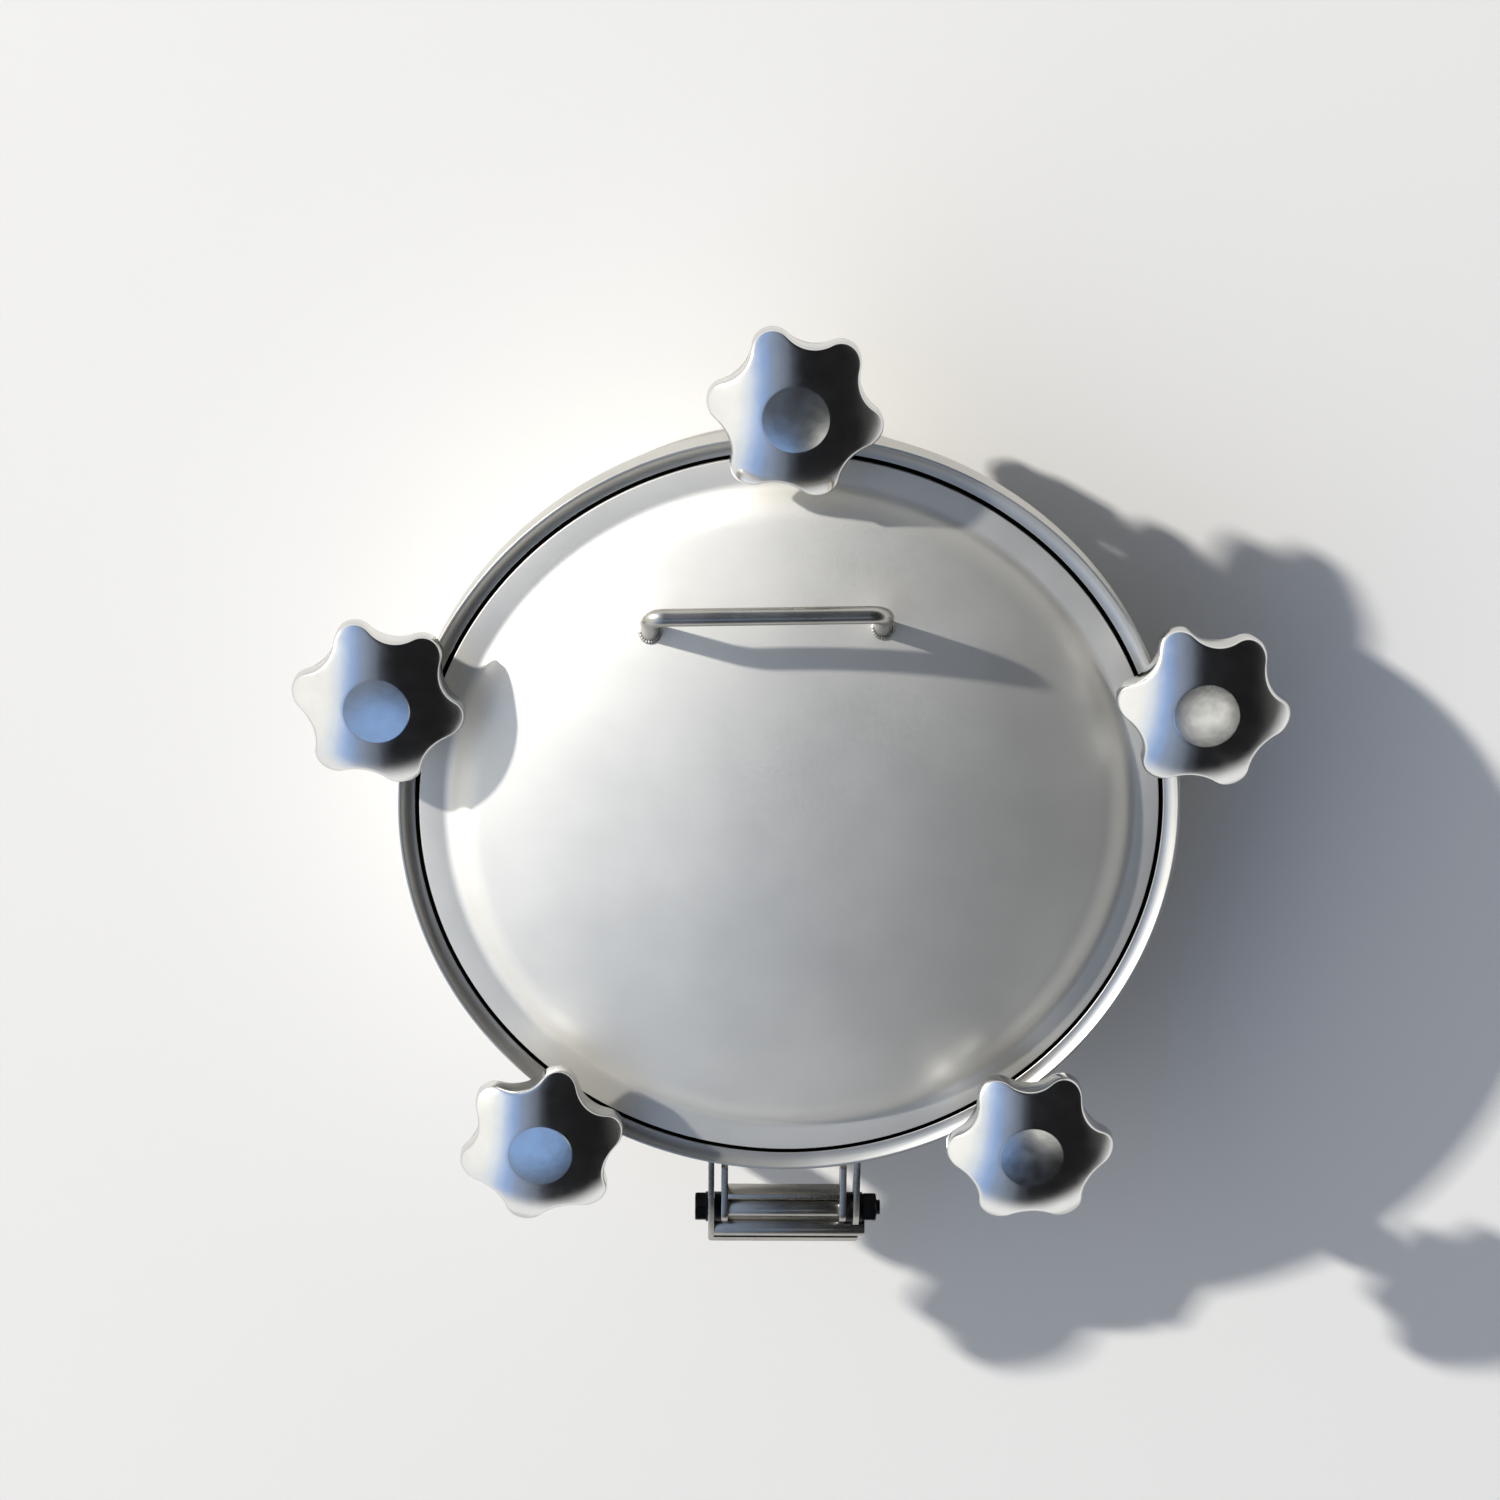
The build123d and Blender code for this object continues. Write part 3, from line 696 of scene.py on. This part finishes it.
@dataclass
class Lid:
    """The dished plate, its rim ring and the seal under it."""

    bore: float = 200.0
    dish_top: float = 112.1
    sheet: float = 3.0
    dish_flange: float = 213.0
    crown: float = 560.0
    knuckle: float = 40.0
    root: float = 10.0
    slope: float = 45.0
    ring: float = 225.0
    ring_inner: float = 222.5
    ring_top: float = 115.1
    skirt_bottom: float = 95.1
    ledge_inner: float = 201.0
    ledge_under: float = 105.1
    ledge_top: float = 109.1
    groove: float = 215.6
    groove_floor: float = 107.1
    band_inner: float = 111.5
    band_middle_at: float = 219.9
    band_middle: float = 112.5
    lip: float = 1.6
    flange_ease: float = 0.6
    ring_ease: float = 0.35
    seal_width: float = 13.0
    seal_ease: float = 1.2
    shade_margin: float = 0.2

    def face(self, offset: float) -> list[Point2]:
        """Works out the dish's section from its apex to its flange.

        Args:
            offset: depth below the upper face.

        Returns:
            The section's points.
        """
        bend = self.knuckle + self.root
        arm = self.crown - self.knuckle
        slope = math.radians(self.slope)
        turn = math.degrees(math.asin((self.bore - bend * math.sin(slope)) / arm))
        low = self.dish_top + self.root - bend * math.cos(slope)
        crown_z = low - arm * math.cos(math.radians(turn))
        knuckle_at = (arm * math.sin(math.radians(turn)), low)
        points = arc((0, crown_z), self.crown - offset, 0, turn, 36)
        points += arc(knuckle_at, self.knuckle - offset, turn, self.slope, 10)[1:]
        root_at = (self.bore, self.dish_top + self.root)
        points += [(2 * self.bore - r, 2 * root_at[1] - z) for r, z in
                   arc(root_at, self.root + offset, self.slope, 0, 8)][1:]
        return points

    def build(self) -> None:
        """Models the dish, the rim ring and the seal."""
        top = self.face(0)
        under = self.face(self.sheet)
        corner = eased([(self.bore, self.dish_top), (self.dish_flange, self.dish_top),
                        (self.dish_flange, self.ledge_top), (self.bore, self.ledge_top)],
                       self.flange_ease)
        flange = [p for p in corner if p[0] > self.bore + 2]
        mesh = spun(metres(top + flange + under[::-1]), RIM_STEPS, closed=False)
        put(mesh, "lid_dish", "lid", "dish_stainless", DISH_STEEL)
        band = [(self.groove, self.band_inner), (self.band_middle_at, self.band_middle),
                (self.ring - self.lip, self.ring_top)]
        ring = [
            (self.ledge_inner, self.ledge_under),
            (self.ring_inner, self.ledge_under),
            (self.ring_inner, self.skirt_bottom),
            (self.ring, self.skirt_bottom),
            (self.ring, self.ring_top),
            (self.ring - self.lip, self.ring_top),
            *reversed(through(*band, 6)),
            (self.groove, self.groove_floor),
            (self.dish_flange, self.groove_floor),
            (self.dish_flange, self.ledge_top),
            (self.ledge_inner, self.ledge_top),
        ]
        mesh = spun(eased(metres(ring), self.ring_ease * MM), RIM_STEPS)
        piece = settle(mesh, "lid_ring_fine", RING_STEEL)
        # painted shade: the groove's floor and walls round the dish flange get the near-black
        # material, which stands in for the shadow inside that deep gap
        piece.data.materials.append(GROOVE_SHADE_STEEL.build())
        shade_inner = (self.dish_flange - self.shade_margin) * MM
        shade_outer = (self.groove + self.shade_margin) * MM
        for face in piece.data.polygons:
            place = face.center
            deep = self.ledge_under * MM < place.z < (self.band_inner - 0.5) * MM
            if deep and shade_inner < math.hypot(place.x, place.y) < shade_outer:
                face.material_index = 1
        stand_for(piece, "lid", "satin_stainless", "lid_ring")
        low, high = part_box("gasket")
        inner = high[0] - self.seal_width * MM
        seal = [(inner, low[2]), (high[0], low[2]), (high[0], high[2]), (inner, high[2])]
        mesh = spun(eased(seal, self.seal_ease * MM), RIM_STEPS)
        put(mesh, "gasket", "lid", "seal_silicone", SEAL_RUBBER)


# ---------------------------------------------------------------- star-knob clamps

@dataclass
class StarKnob:
    """A star knob: flat disc, domed flank, rolled rim, upright skirt and a round cavity below."""

    radius: float = 49.3
    valley: float = 38.8
    lobe: float = 11.5
    lobes: int = 6
    top: float = 155.1
    rim: float = 143.1
    skirt: float = 10.0
    disc: float = 18.5
    wall: float = 3.0
    roll: float = 3.6
    foot: float = 0.8
    disc_ease: float = 0.35
    disc_step: float = 0.03
    round_steps: int = 216
    flank_steps: int = 14
    roll_steps: int = 8

    def outline(self, bearing: float) -> float:
        """Works out the star's outline, whose lobe and valley arcs touch smoothly.

        Args:
            bearing: the angle from a lobe's middle, in radians.

        Returns:
            The outline's radius at the bearing.
        """
        half = math.pi / self.lobes
        turn = abs((bearing + half) % (2 * half) - half)
        lobe_at = self.radius - self.lobe
        reach = lobe_at * math.cos(half)
        valley_r = ((lobe_at ** 2 + self.valley ** 2 - self.lobe ** 2) / 2
                    - reach * self.valley) / (self.lobe - self.valley + reach)
        valley_at = self.valley + valley_r
        share = self.lobe / (self.lobe + valley_r)
        touch_x = lobe_at + (valley_at * math.cos(half) - lobe_at) * share
        touch_y = valley_at * math.sin(half) * share
        if turn < math.atan2(touch_y, touch_x):
            return lobe_at * math.cos(turn) + math.sqrt(
                self.lobe ** 2 - (lobe_at * math.sin(turn)) ** 2)
        turn = half - turn
        return valley_at * math.cos(turn) - math.sqrt(
            valley_r ** 2 - (valley_at * math.sin(turn)) ** 2)

    def section(self, bearing: float) -> list[Point2]:
        """Works out the knob's section, from the disc's edge to the cavity's roof.

        Args:
            bearing: the angle from a lobe's middle, in radians.

        Returns:
            The section's points at the bearing.
        """
        edge = self.outline(bearing)
        fall = self.top - self.rim
        depth = (self.radius ** 2 - self.disc ** 2 - fall ** 2) / (2 * fall)
        sphere = math.hypot(self.disc, depth)

        def dome(radius: float) -> float:
            """Returns the domed flank's height at a radius."""
            return self.top - depth + math.sqrt(sphere ** 2 - radius ** 2)

        ease = self.disc_ease
        points = [(self.disc - ease, self.top), (self.disc, self.top - self.disc_step)]
        roll_at = edge - self.roll
        flank_end = roll_at / (1 - self.roll / sphere)
        for i in range(self.flank_steps + 1):
            radius = self.disc + ease + (flank_end - self.disc - ease) * i / self.flank_steps
            points.append((radius, dome(radius)))
        slope = math.degrees(math.asin(flank_end / sphere))
        centre = (roll_at, dome(flank_end) - self.roll * math.cos(math.radians(slope)))
        points += arc(centre, self.roll, slope, 90, self.roll_steps)[1:]
        low = self.rim - self.skirt
        cavity = self.valley - self.wall
        roof = self.top - self.wall
        foot = (edge - self.foot, low + self.foot)
        points += arc(foot, self.foot, 90, 180, 3)
        points += arc((cavity + self.foot, low + self.foot), self.foot, 180, 270, 3)
        shoulder = self.rim - self.wall
        points += [(cavity, shoulder - 1.2), (cavity - 0.5, shoulder + 0.1),
                   (self.disc + 1.0, roof - 0.5), (self.disc - 1.0, roof)]
        return points

    def build(self, number: int, turn: float, centre: Point2) -> Object:
        """Models one knob shell.

        Args:
            number: the clamp's number.
            turn: how far its lobes are turned, in degrees.
            centre: where its axis stands, in metres.

        Returns:
            The knob's shell.
        """
        mesh = bmesh.new()
        order = mesh.verts.layers.int.new("order")
        bmesh.ops.create_circle(mesh, cap_ends=False, radius=1.0, segments=self.round_steps)
        ring = list(mesh.verts)
        bearings = {i: math.atan2(v.co.y, v.co.x) for i, v in enumerate(ring)}
        sections = {i: self.section(bearing) for i, bearing in bearings.items()}
        for i, vert in enumerate(ring):
            vert[order] = i
        disc_edges = edges = list(mesh.edges)
        for level in range(len(sections[0])):
            if level:
                ring, edges = drawn_on(mesh, edges)
            for vert in ring:
                radius, height = sections[vert[order]][level]
                bearing = bearings[vert[order]]
                vert.co = (radius * math.cos(bearing) * MM, radius * math.sin(bearing) * MM,
                           height * MM)
        bmesh.ops.contextual_create(mesh, geom=disc_edges)
        bmesh.ops.contextual_create(mesh, geom=edges)
        placed(mesh, math.radians(turn), "Z", (*centre, 0))
        return put(mesh, f"knob_shell_{number}", f"knob_{number}", "polished_stainless",
                   KNOB_STEEL, 40.0)


@dataclass
class Clamp:
    """One clamp: star knob on its hub, ear, screw, swivel dog, washers and nut."""

    number: int
    turn: float
    knob: StarKnob = field(default_factory=StarKnob)
    screw: float = 16.0
    running_gap: float = 0.08
    cap: float = 9.0
    hub_ease: float = 0.8
    hub_steps: int = 72
    bead: float = 2.5
    nut_flats: float = 18.0
    nut_bore: float = 6.05
    ear: float = 36.0
    rim: float = 225.2
    weld: float = 2.4
    weld_step: float = 0.5
    weld_short: float = 1.0
    weld_proud: float = 0.2

    def build(self) -> None:
        """Models and dresses every piece of the clamp."""
        k = self.number
        low, high, middle = middle_of(f"knob_hub_{k}")
        centre = (middle.x, middle.y)
        self.knob.build(k, self.turn, centre)
        turned = replace(TURNED_STEEL, name=f"{TURNED_STEEL.name}_{k}",
                         centre=(centre[0], centre[1], 0.0))
        hub = (high[0] - low[0]) / 2
        bore = (self.screw / 2 + self.running_gap) * MM
        bore_top = high[2] - self.cap * MM
        bead = self.bead * MM
        outline = [(bore, low[2]), (hub, low[2]), (hub, high[2] - bead),
                   (hub + bead * 0.3, high[2] - bead * 0.3), (hub + bead, high[2]),
                   (0, high[2]), (0, bore_top), (bore, bore_top)]
        mesh = spun(eased(outline, self.hub_ease * MM), self.hub_steps, centre=centre)
        put(mesh, f"knob_hub_{k}", f"knob_{k}", "turned_stainless", turned)
        dress(f"clamp_ear_{k}", "lid", "clamp_stainless", BAR_STEEL, 0.8)
        dress(f"spindle_{k}", f"screw_{k}", "turned_stainless", turned, 0.3)
        dress(f"claw_{k}", f"dog_{k}", "clamp_stainless", BAR_STEEL, 1.0, 3)
        dress(f"claw_washer_{k}", f"dog_{k}", "turned_stainless", turned, 0.3)
        low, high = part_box(f"claw_nut_{k}")
        nut = hexagon(self.nut_flats * MM, high[2] - low[2], (True, True), self.nut_bore * MM)
        placed(nut, math.atan2(centre[1], centre[0]), "Z", (*centre, low[2]))
        put(nut, f"claw_nut_{k}", f"dog_{k}", "turned_stainless", turned, HEX_CREASE)
        self._ear_weld(k, centre)

    def _ear_weld(self, k: int, centre: Point2) -> None:
        """Lays the weld beads where the ear meets the rim ring, above and below.

        Args:
            k: the clamp's number.
            centre: where its axis stands, in metres.
        """
        low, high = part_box(f"clamp_ear_{k}")
        bearing = math.atan2(centre[1], centre[0])
        reach = math.asin((self.ear / 2 - self.weld_short) / self.rim)
        steps = int(2 * reach * self.rim / self.weld_step)
        beads = []
        for height in (high[2] + self.weld_proud * MM, low[2] - self.weld_proud * MM):
            path = []
            for i in range(steps + 1):
                angle = bearing - reach + 2 * reach * i / steps
                path.append(Vector((self.rim * MM * math.cos(angle),
                                    self.rim * MM * math.sin(angle), height)))
            beads.append(weld_bead(path, self.weld * MM))
        piece = settle(merged(*beads), f"ear_weld_{k}", WELD_STEEL, WELD_CREASE)
        stand_for(piece, "lid", "clamp_stainless")


# ---------------------------------------------------------------- hinge and handle

@dataclass
class Hinge:
    """The strap on the lid and the bracket, bolt and stops on the neck."""

    edge: float = 0.4
    tube_edge: float = 0.3
    washer_edge: float = 0.25
    flats: float = 16.0
    head: float = 6.4
    bolt: float = 10.0
    bolt_steps: int = 64
    bolt_gap: float = 0.05
    bolt_end: float = 0.6
    pitch: float = 1.5
    thread_depth: float = 0.8
    thread_length: float = 12.0

    def build(self) -> None:
        """Models, eases and dresses the hinge's pieces."""
        for node, body in {"hinge_strap": "lid", "bracket_arm_left": "neck",
                           "bracket_arm_right": "neck", "stop_plate": "neck"}.items():
            dress(node, body, "hinge_stainless", BAR_STEEL, self.edge)
        for node, body in {"stop_tube": "lid", "hinge_sleeve": "neck"}.items():
            dress(node, body, "hinge_stainless", ROD_STEEL, self.tube_edge)
        for node in ("hinge_washers", "hinge_spacers"):
            dress(node, "neck", "dark_fastener", OXIDE_STEEL, self.washer_edge)
        self._bolt()
        self._nut()

    def _bolt(self) -> None:
        """Models the hexagon head bolt with its threaded end."""
        low, high, middle = middle_of("hinge_bolt")
        head = hexagon(self.flats * MM, self.head * MM, (True, False))
        radius = self.bolt / 2
        root = radius - self.thread_depth
        length = (high[0] - low[0]) / MM - self.head
        thread = [(0.0, 0.0), (radius, 0.0)]
        turns = int(self.thread_length / self.pitch)
        start = length - turns * self.pitch - self.bolt_end
        for i in range(turns):
            at = start + i * self.pitch
            thread += [(radius, at), (root, at + self.pitch / 2)]
        thread += [(radius - self.thread_depth / 2, length - self.bolt_end), (root, length),
                   (0.0, length)]
        shank = spun(metres(thread), self.bolt_steps, closed=False)
        bmesh.ops.translate(shank, verts=shank.verts, vec=(0, 0, self.head * MM))
        mesh = placed(merged(head, shank), math.pi / 2, "Y", (low.x, middle.y, middle.z))
        put(mesh, "hinge_bolt", "neck", "dark_fastener", OXIDE_STEEL, HEX_CREASE)

    def _nut(self) -> None:
        """Models the hexagon nut, chamfered on both faces."""
        low, high, middle = middle_of("hinge_nut")
        bore = (self.bolt / 2 + self.bolt_gap) * MM
        mesh = placed(hexagon(self.flats * MM, high.x - low.x, (True, True), bore),
                      math.pi / 2, "Y", (low.x, middle.y, middle.z))
        put(mesh, "hinge_nut", "neck", "dark_fastener", OXIDE_STEEL, HEX_CREASE)


@dataclass
class Handle:
    """The bent rod welded on the dish, leaning away from the hinge."""

    rod: float = 10.0
    span: float = 130.0
    rise: float = 34.0
    lean: float = 28.5
    bend: float = 9.0
    foot_y: float = 119.0
    shift_x: float = -12.0
    turn: float = 1.2
    sunk: float = 1.0
    crown: float = 560.0
    shrink: float = 0.01
    rod_segments: int = 40
    bend_steps: int = 14
    bead: float = 3.0
    bead_out: float = 0.3
    bead_steps: int = 72

    def build(self) -> None:
        """Bends the rod, seats its two feet on the dish and lays a weld round each."""
        half = self.span / 2
        leg = self.rise / math.cos(math.radians(self.lean))
        _, dish_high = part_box("lid_dish")
        crown = Vector((0, 0, dish_high[2] / MM - self.crown))
        foot_z = crown.z + math.sqrt(self.crown ** 2 - self.foot_y ** 2 - half ** 2)
        place = (Matrix.Rotation(math.radians(self.turn), 4, "Z")
                 @ Matrix.Translation((self.shift_x, self.foot_y, foot_z))
                 @ Matrix.Rotation(math.radians(90 - self.lean), 4, "X"))
        mesh = bmesh.new()
        bmesh.ops.create_circle(mesh, radius=self.rod / 2 - self.shrink,
                                segments=self.rod_segments)
        placed(mesh, math.pi / 2, "X", (-half, 0, 0))
        first = list(mesh.verts)
        last = list(mesh.edges)
        last = self._straight(mesh, last, (0, leg - self.bend, 0))
        last = self._bent(mesh, last, (-half + self.bend, leg - self.bend, 0))
        last = self._straight(mesh, last, (self.span - 2 * self.bend, 0, 0))
        last = self._bent(mesh, last, (half - self.bend, leg - self.bend, 0))
        last = self._straight(mesh, last, (0, self.bend - leg, 0))
        bmesh.ops.transform(mesh, matrix=place, verts=mesh.verts)
        along = (place.to_3x3() @ Vector((0, 1, 0))).normalized()
        feet = []
        for verts in (first, list(dict.fromkeys(v for e in last for v in e.verts))):
            middle = sum((v.co for v in verts), Vector()) / len(verts)
            for vert in verts:
                vert.co += along * self._slide(vert.co - crown, along, self.crown - self.sunk)
            feet.append(middle + along * self._slide(middle - crown, along, self.crown))
        bmesh.ops.holes_fill(mesh, edges=[e for e in mesh.edges if e.is_boundary], sides=0)
        bmesh.ops.scale(mesh, vec=(MM, MM, MM), verts=mesh.verts)
        put(mesh, "handle", "lid", "handle_stainless", ROD_STEEL)
        beads = [self._foot_weld(foot, along, crown) for foot in feet]
        piece = settle(merged(*beads), "handle_welds", WELD_STEEL, WELD_CREASE)
        stand_for(piece, "lid", "handle_stainless")

    @staticmethod
    def _straight(mesh: BMesh, edges: list[BMEdge], vec: Point3) -> list[BMEdge]:
        """Draws the rod's open end out along a straight run.

        Args:
            mesh: the rod so far.
            edges: its open end's rim.
            vec: the run, in millimetres.

        Returns:
            The new rim.
        """
        verts, rim = drawn_on(mesh, edges)
        bmesh.ops.translate(mesh, verts=verts, vec=vec)
        return rim

    def _bent(self, mesh: BMesh, edges: list[BMEdge], centre: Point3) -> list[BMEdge]:
        """Bends the rod's open end through a right angle.

        Args:
            mesh: the rod so far.
            edges: its open end's rim.
            centre: the bend's centre, in millimetres.

        Returns:
            The new rim.
        """
        spun_end = bmesh.ops.spin(mesh, geom=edges, cent=centre, axis=(0, 0, -1),
                                  angle=math.pi / 2, steps=self.bend_steps)["geom_last"]
        return [g for g in spun_end if isinstance(g, BMEdge)]

    @staticmethod
    def _slide(start: Vector, along: Vector, radius: float) -> float:
        """Returns how far a point moves along a direction to reach a sphere about the origin."""
        across = start.dot(along)
        return -across + math.sqrt(across ** 2 - start.length_squared + radius ** 2)

    def _foot_weld(self, foot: Vector, along: Vector, crown: Vector) -> BMesh:
        """Lays a closed weld bead round one foot, on the dish.

        Args:
            foot: the foot's middle, in millimetres.
            along: the direction of the leg.
            crown: the centre of the dish's crown, in millimetres.

        Returns:
            The bead.
        """
        turn = along.to_track_quat("Z", "Y")
        radius = self.rod / 2 + self.bead_out
        path = []
        for i in range(self.bead_steps):
            angle = 2 * math.pi * i / self.bead_steps
            point = foot + turn @ Vector((math.cos(angle), math.sin(angle), 0)) * radius
            point += along * self._slide(point - crown, along, self.crown)
            path.append(point * MM)
        return weld_bead(path, self.bead * MM, closed=True)


# ---------------------------------------------------------------- studio

@dataclass
class Studio:
    """The floor, the sky, one lamp and the camera.

    Attributes:
        lens: focal length in millimetres, as sensor, the sensor's width.
        eye: the camera's place in millimetres.
        tilt: its rotation in degrees.
        floor_size: the floor's side in metres, and floor_drop, its depth below the weld rim.
        horizon: the sky's colour low down, fading over horizon_rise to the sky's bands.
        sky: bands of colour overhead, as places from -X to +X and sRGB hex codes.
        cards: soft round cards in the sky, as aim, spread in degrees and sRGB hex.
    """

    lens: float = 86.4
    eye: Point3 = (-42.2, 720.8, 2057.8)
    tilt: Point3 = (-19.318, -0.40, 0.48)
    sensor: float = 36.0
    floor_size: float = 8.0
    floor_drop: float = 0.0005
    sky_strength: float = 1.36
    horizon: str = "e6e7e8"
    horizon_rise: tuple[float, float] = (0.10, 0.42)
    lamp_place: Point3 = (-11.16, 6.44, 5.47)
    lamp_aim: Point3 = (0.0, 0.0, 0.1)
    lamp_size: float = 0.40
    lamp_power: float = 3300.0
    lamp_tint: str = "fffcf7"
    sky: tuple[tuple[float, str], ...] = (
        (0.0, "f6f5f2"), (0.15, "f5f5f2"), (0.21, "dce4ee"), (0.26, "a9c0e6"), (0.30, "8ca7d4"),
        (0.36, "8390a6"), (0.44, "6c7482"), (0.49, "3c4047"), (0.54, "1c1d1f"), (0.85, "1a1a1b"),
        (1.0, "5a5a5a"),
    )
    cards: tuple[tuple[Point3, float, str], ...] = (
        ((0.145, -0.32, 0.936), 3.6, "ecece8"),
        ((-0.075, -0.385, 0.92), 5.6, "86a9dc"),
    )

    def build(self) -> None:
        """Sets the stage, the lights and the camera."""
        scene = bpy.context.scene
        scene.view_settings.view_transform = "Standard"
        self._floor()
        self._world(scene)
        self._lamp(scene)
        data = bpy.data.cameras.new("camera")
        data.lens = self.lens
        data.sensor_width = self.sensor
        camera = bpy.data.objects.new("camera", data)
        camera.location = [c * MM for c in self.eye]
        camera.rotation_euler = [math.radians(a) for a in self.tilt]
        scene.collection.objects.link(camera)
        scene.camera = camera

    def _floor(self) -> None:
        """Lays a plain pale floor under the weld rim."""
        mesh = bmesh.new()
        bmesh.ops.create_grid(mesh, x_segments=2, y_segments=2, size=self.floor_size / 2)
        bmesh.ops.translate(mesh, verts=mesh.verts, vec=(0, 0, -self.floor_drop))
        data = bpy.data.meshes.new("floor")
        mesh.to_mesh(data)
        mesh.free()
        floor = bpy.data.objects.new("floor", data)
        bpy.context.scene.collection.objects.link(floor)
        material = bpy.data.materials.new("floor_pale_matt")
        material.use_nodes = True
        shader = material.node_tree.nodes["Principled BSDF"]
        shader.inputs["Base Color"].default_value = linear("e7e5e1")
        shader.inputs["Roughness"].default_value = 0.9
        data.materials.append(material)

    def _world(self, scene: Scene) -> None:
        """Surrounds the object with a pale horizon and an overhead that darkens to one side.

        Args:
            scene: the scene that gets the world.
        """
        world = bpy.data.worlds.new("studio")
        scene.world = world
        world.use_nodes = True
        tree = world.node_tree
        tree.nodes.clear()
        way = add_node(tree, "TexCoord").outputs["Generated"]
        parts = add_node(tree, "SeparateXYZ", {0: way})
        across = add_node(tree, "MapRange", {"Value": parts.outputs["X"], "From Min": -1.0,
                                             "From Max": 1.0})
        sky = add_node(tree, "ValToRGB", {"Fac": across.outputs["Result"]})
        ramp = sky.color_ramp
        ramp.interpolation = "EASE"
        while len(ramp.elements) < len(self.sky):
            ramp.elements.new(1.0)
        for element, (place, code) in zip(ramp.elements, self.sky):
            element.position = place
            element.color = linear(code)
        high = add_node(tree, "MapRange", {
            "Value": parts.outputs["Z"], "From Min": self.horizon_rise[0],
            "From Max": self.horizon_rise[1],
        }, interpolation_type="SMOOTHSTEP")
        mixed = add_node(tree, "Mix", {0: high.outputs["Result"], 6: linear(self.horizon),
                                       7: sky.outputs["Color"]}, data_type="RGBA")
        colour = mixed.outputs[2]
        for aim, spread, code in self.cards:
            near = add_node(tree, "VectorMath", {0: way, 1: Vector(aim).normalized()},
                            operation="DOT_PRODUCT")
            card = add_node(tree, "MapRange", {
                "Value": near.outputs["Value"], "From Min": math.cos(math.radians(spread * 1.4)),
                "From Max": math.cos(math.radians(spread * 0.7)),
            }, interpolation_type="SMOOTHSTEP")
            colour = add_node(tree, "Mix", {0: card.outputs["Result"], 6: colour,
                                            7: linear(code)}, data_type="RGBA").outputs[2]
        back = add_node(tree, "Background", {"Color": colour, "Strength": self.sky_strength})
        add_node(tree, "OutputWorld", {"Surface": back.outputs[0]})

    def _lamp(self, scene: Scene) -> None:
        """Hangs one square lamp, far off, that faces the object.

        Args:
            scene: the scene that gets the lamp.
        """
        data = bpy.data.lights.new("key", "AREA")
        data.size = self.lamp_size
        data.energy = self.lamp_power
        data.color = linear(self.lamp_tint)[:3]
        lamp = bpy.data.objects.new("key", data)
        lamp.location = self.lamp_place
        view = Vector(self.lamp_aim) - Vector(self.lamp_place)
        lamp.rotation_euler = view.to_track_quat("-Z", "Y").to_euler()
        scene.collection.objects.link(lamp)


def main() -> None:
    """Builds the object's sub-assemblies in order and then the studio."""
    logging.basicConfig(level=logging.INFO, format="%(message)s")
    Neck().build()
    Lid().build()
    for number, turn in enumerate(KNOB_TURNS, 1):
        Clamp(number, turn).build()
    dress("thrust_washers", "lid", "turned_stainless", BAR_STEEL, 0.3)
    Hinge().build()
    Handle().build()
    Studio().build()


if __name__ == "__main__":
    main()
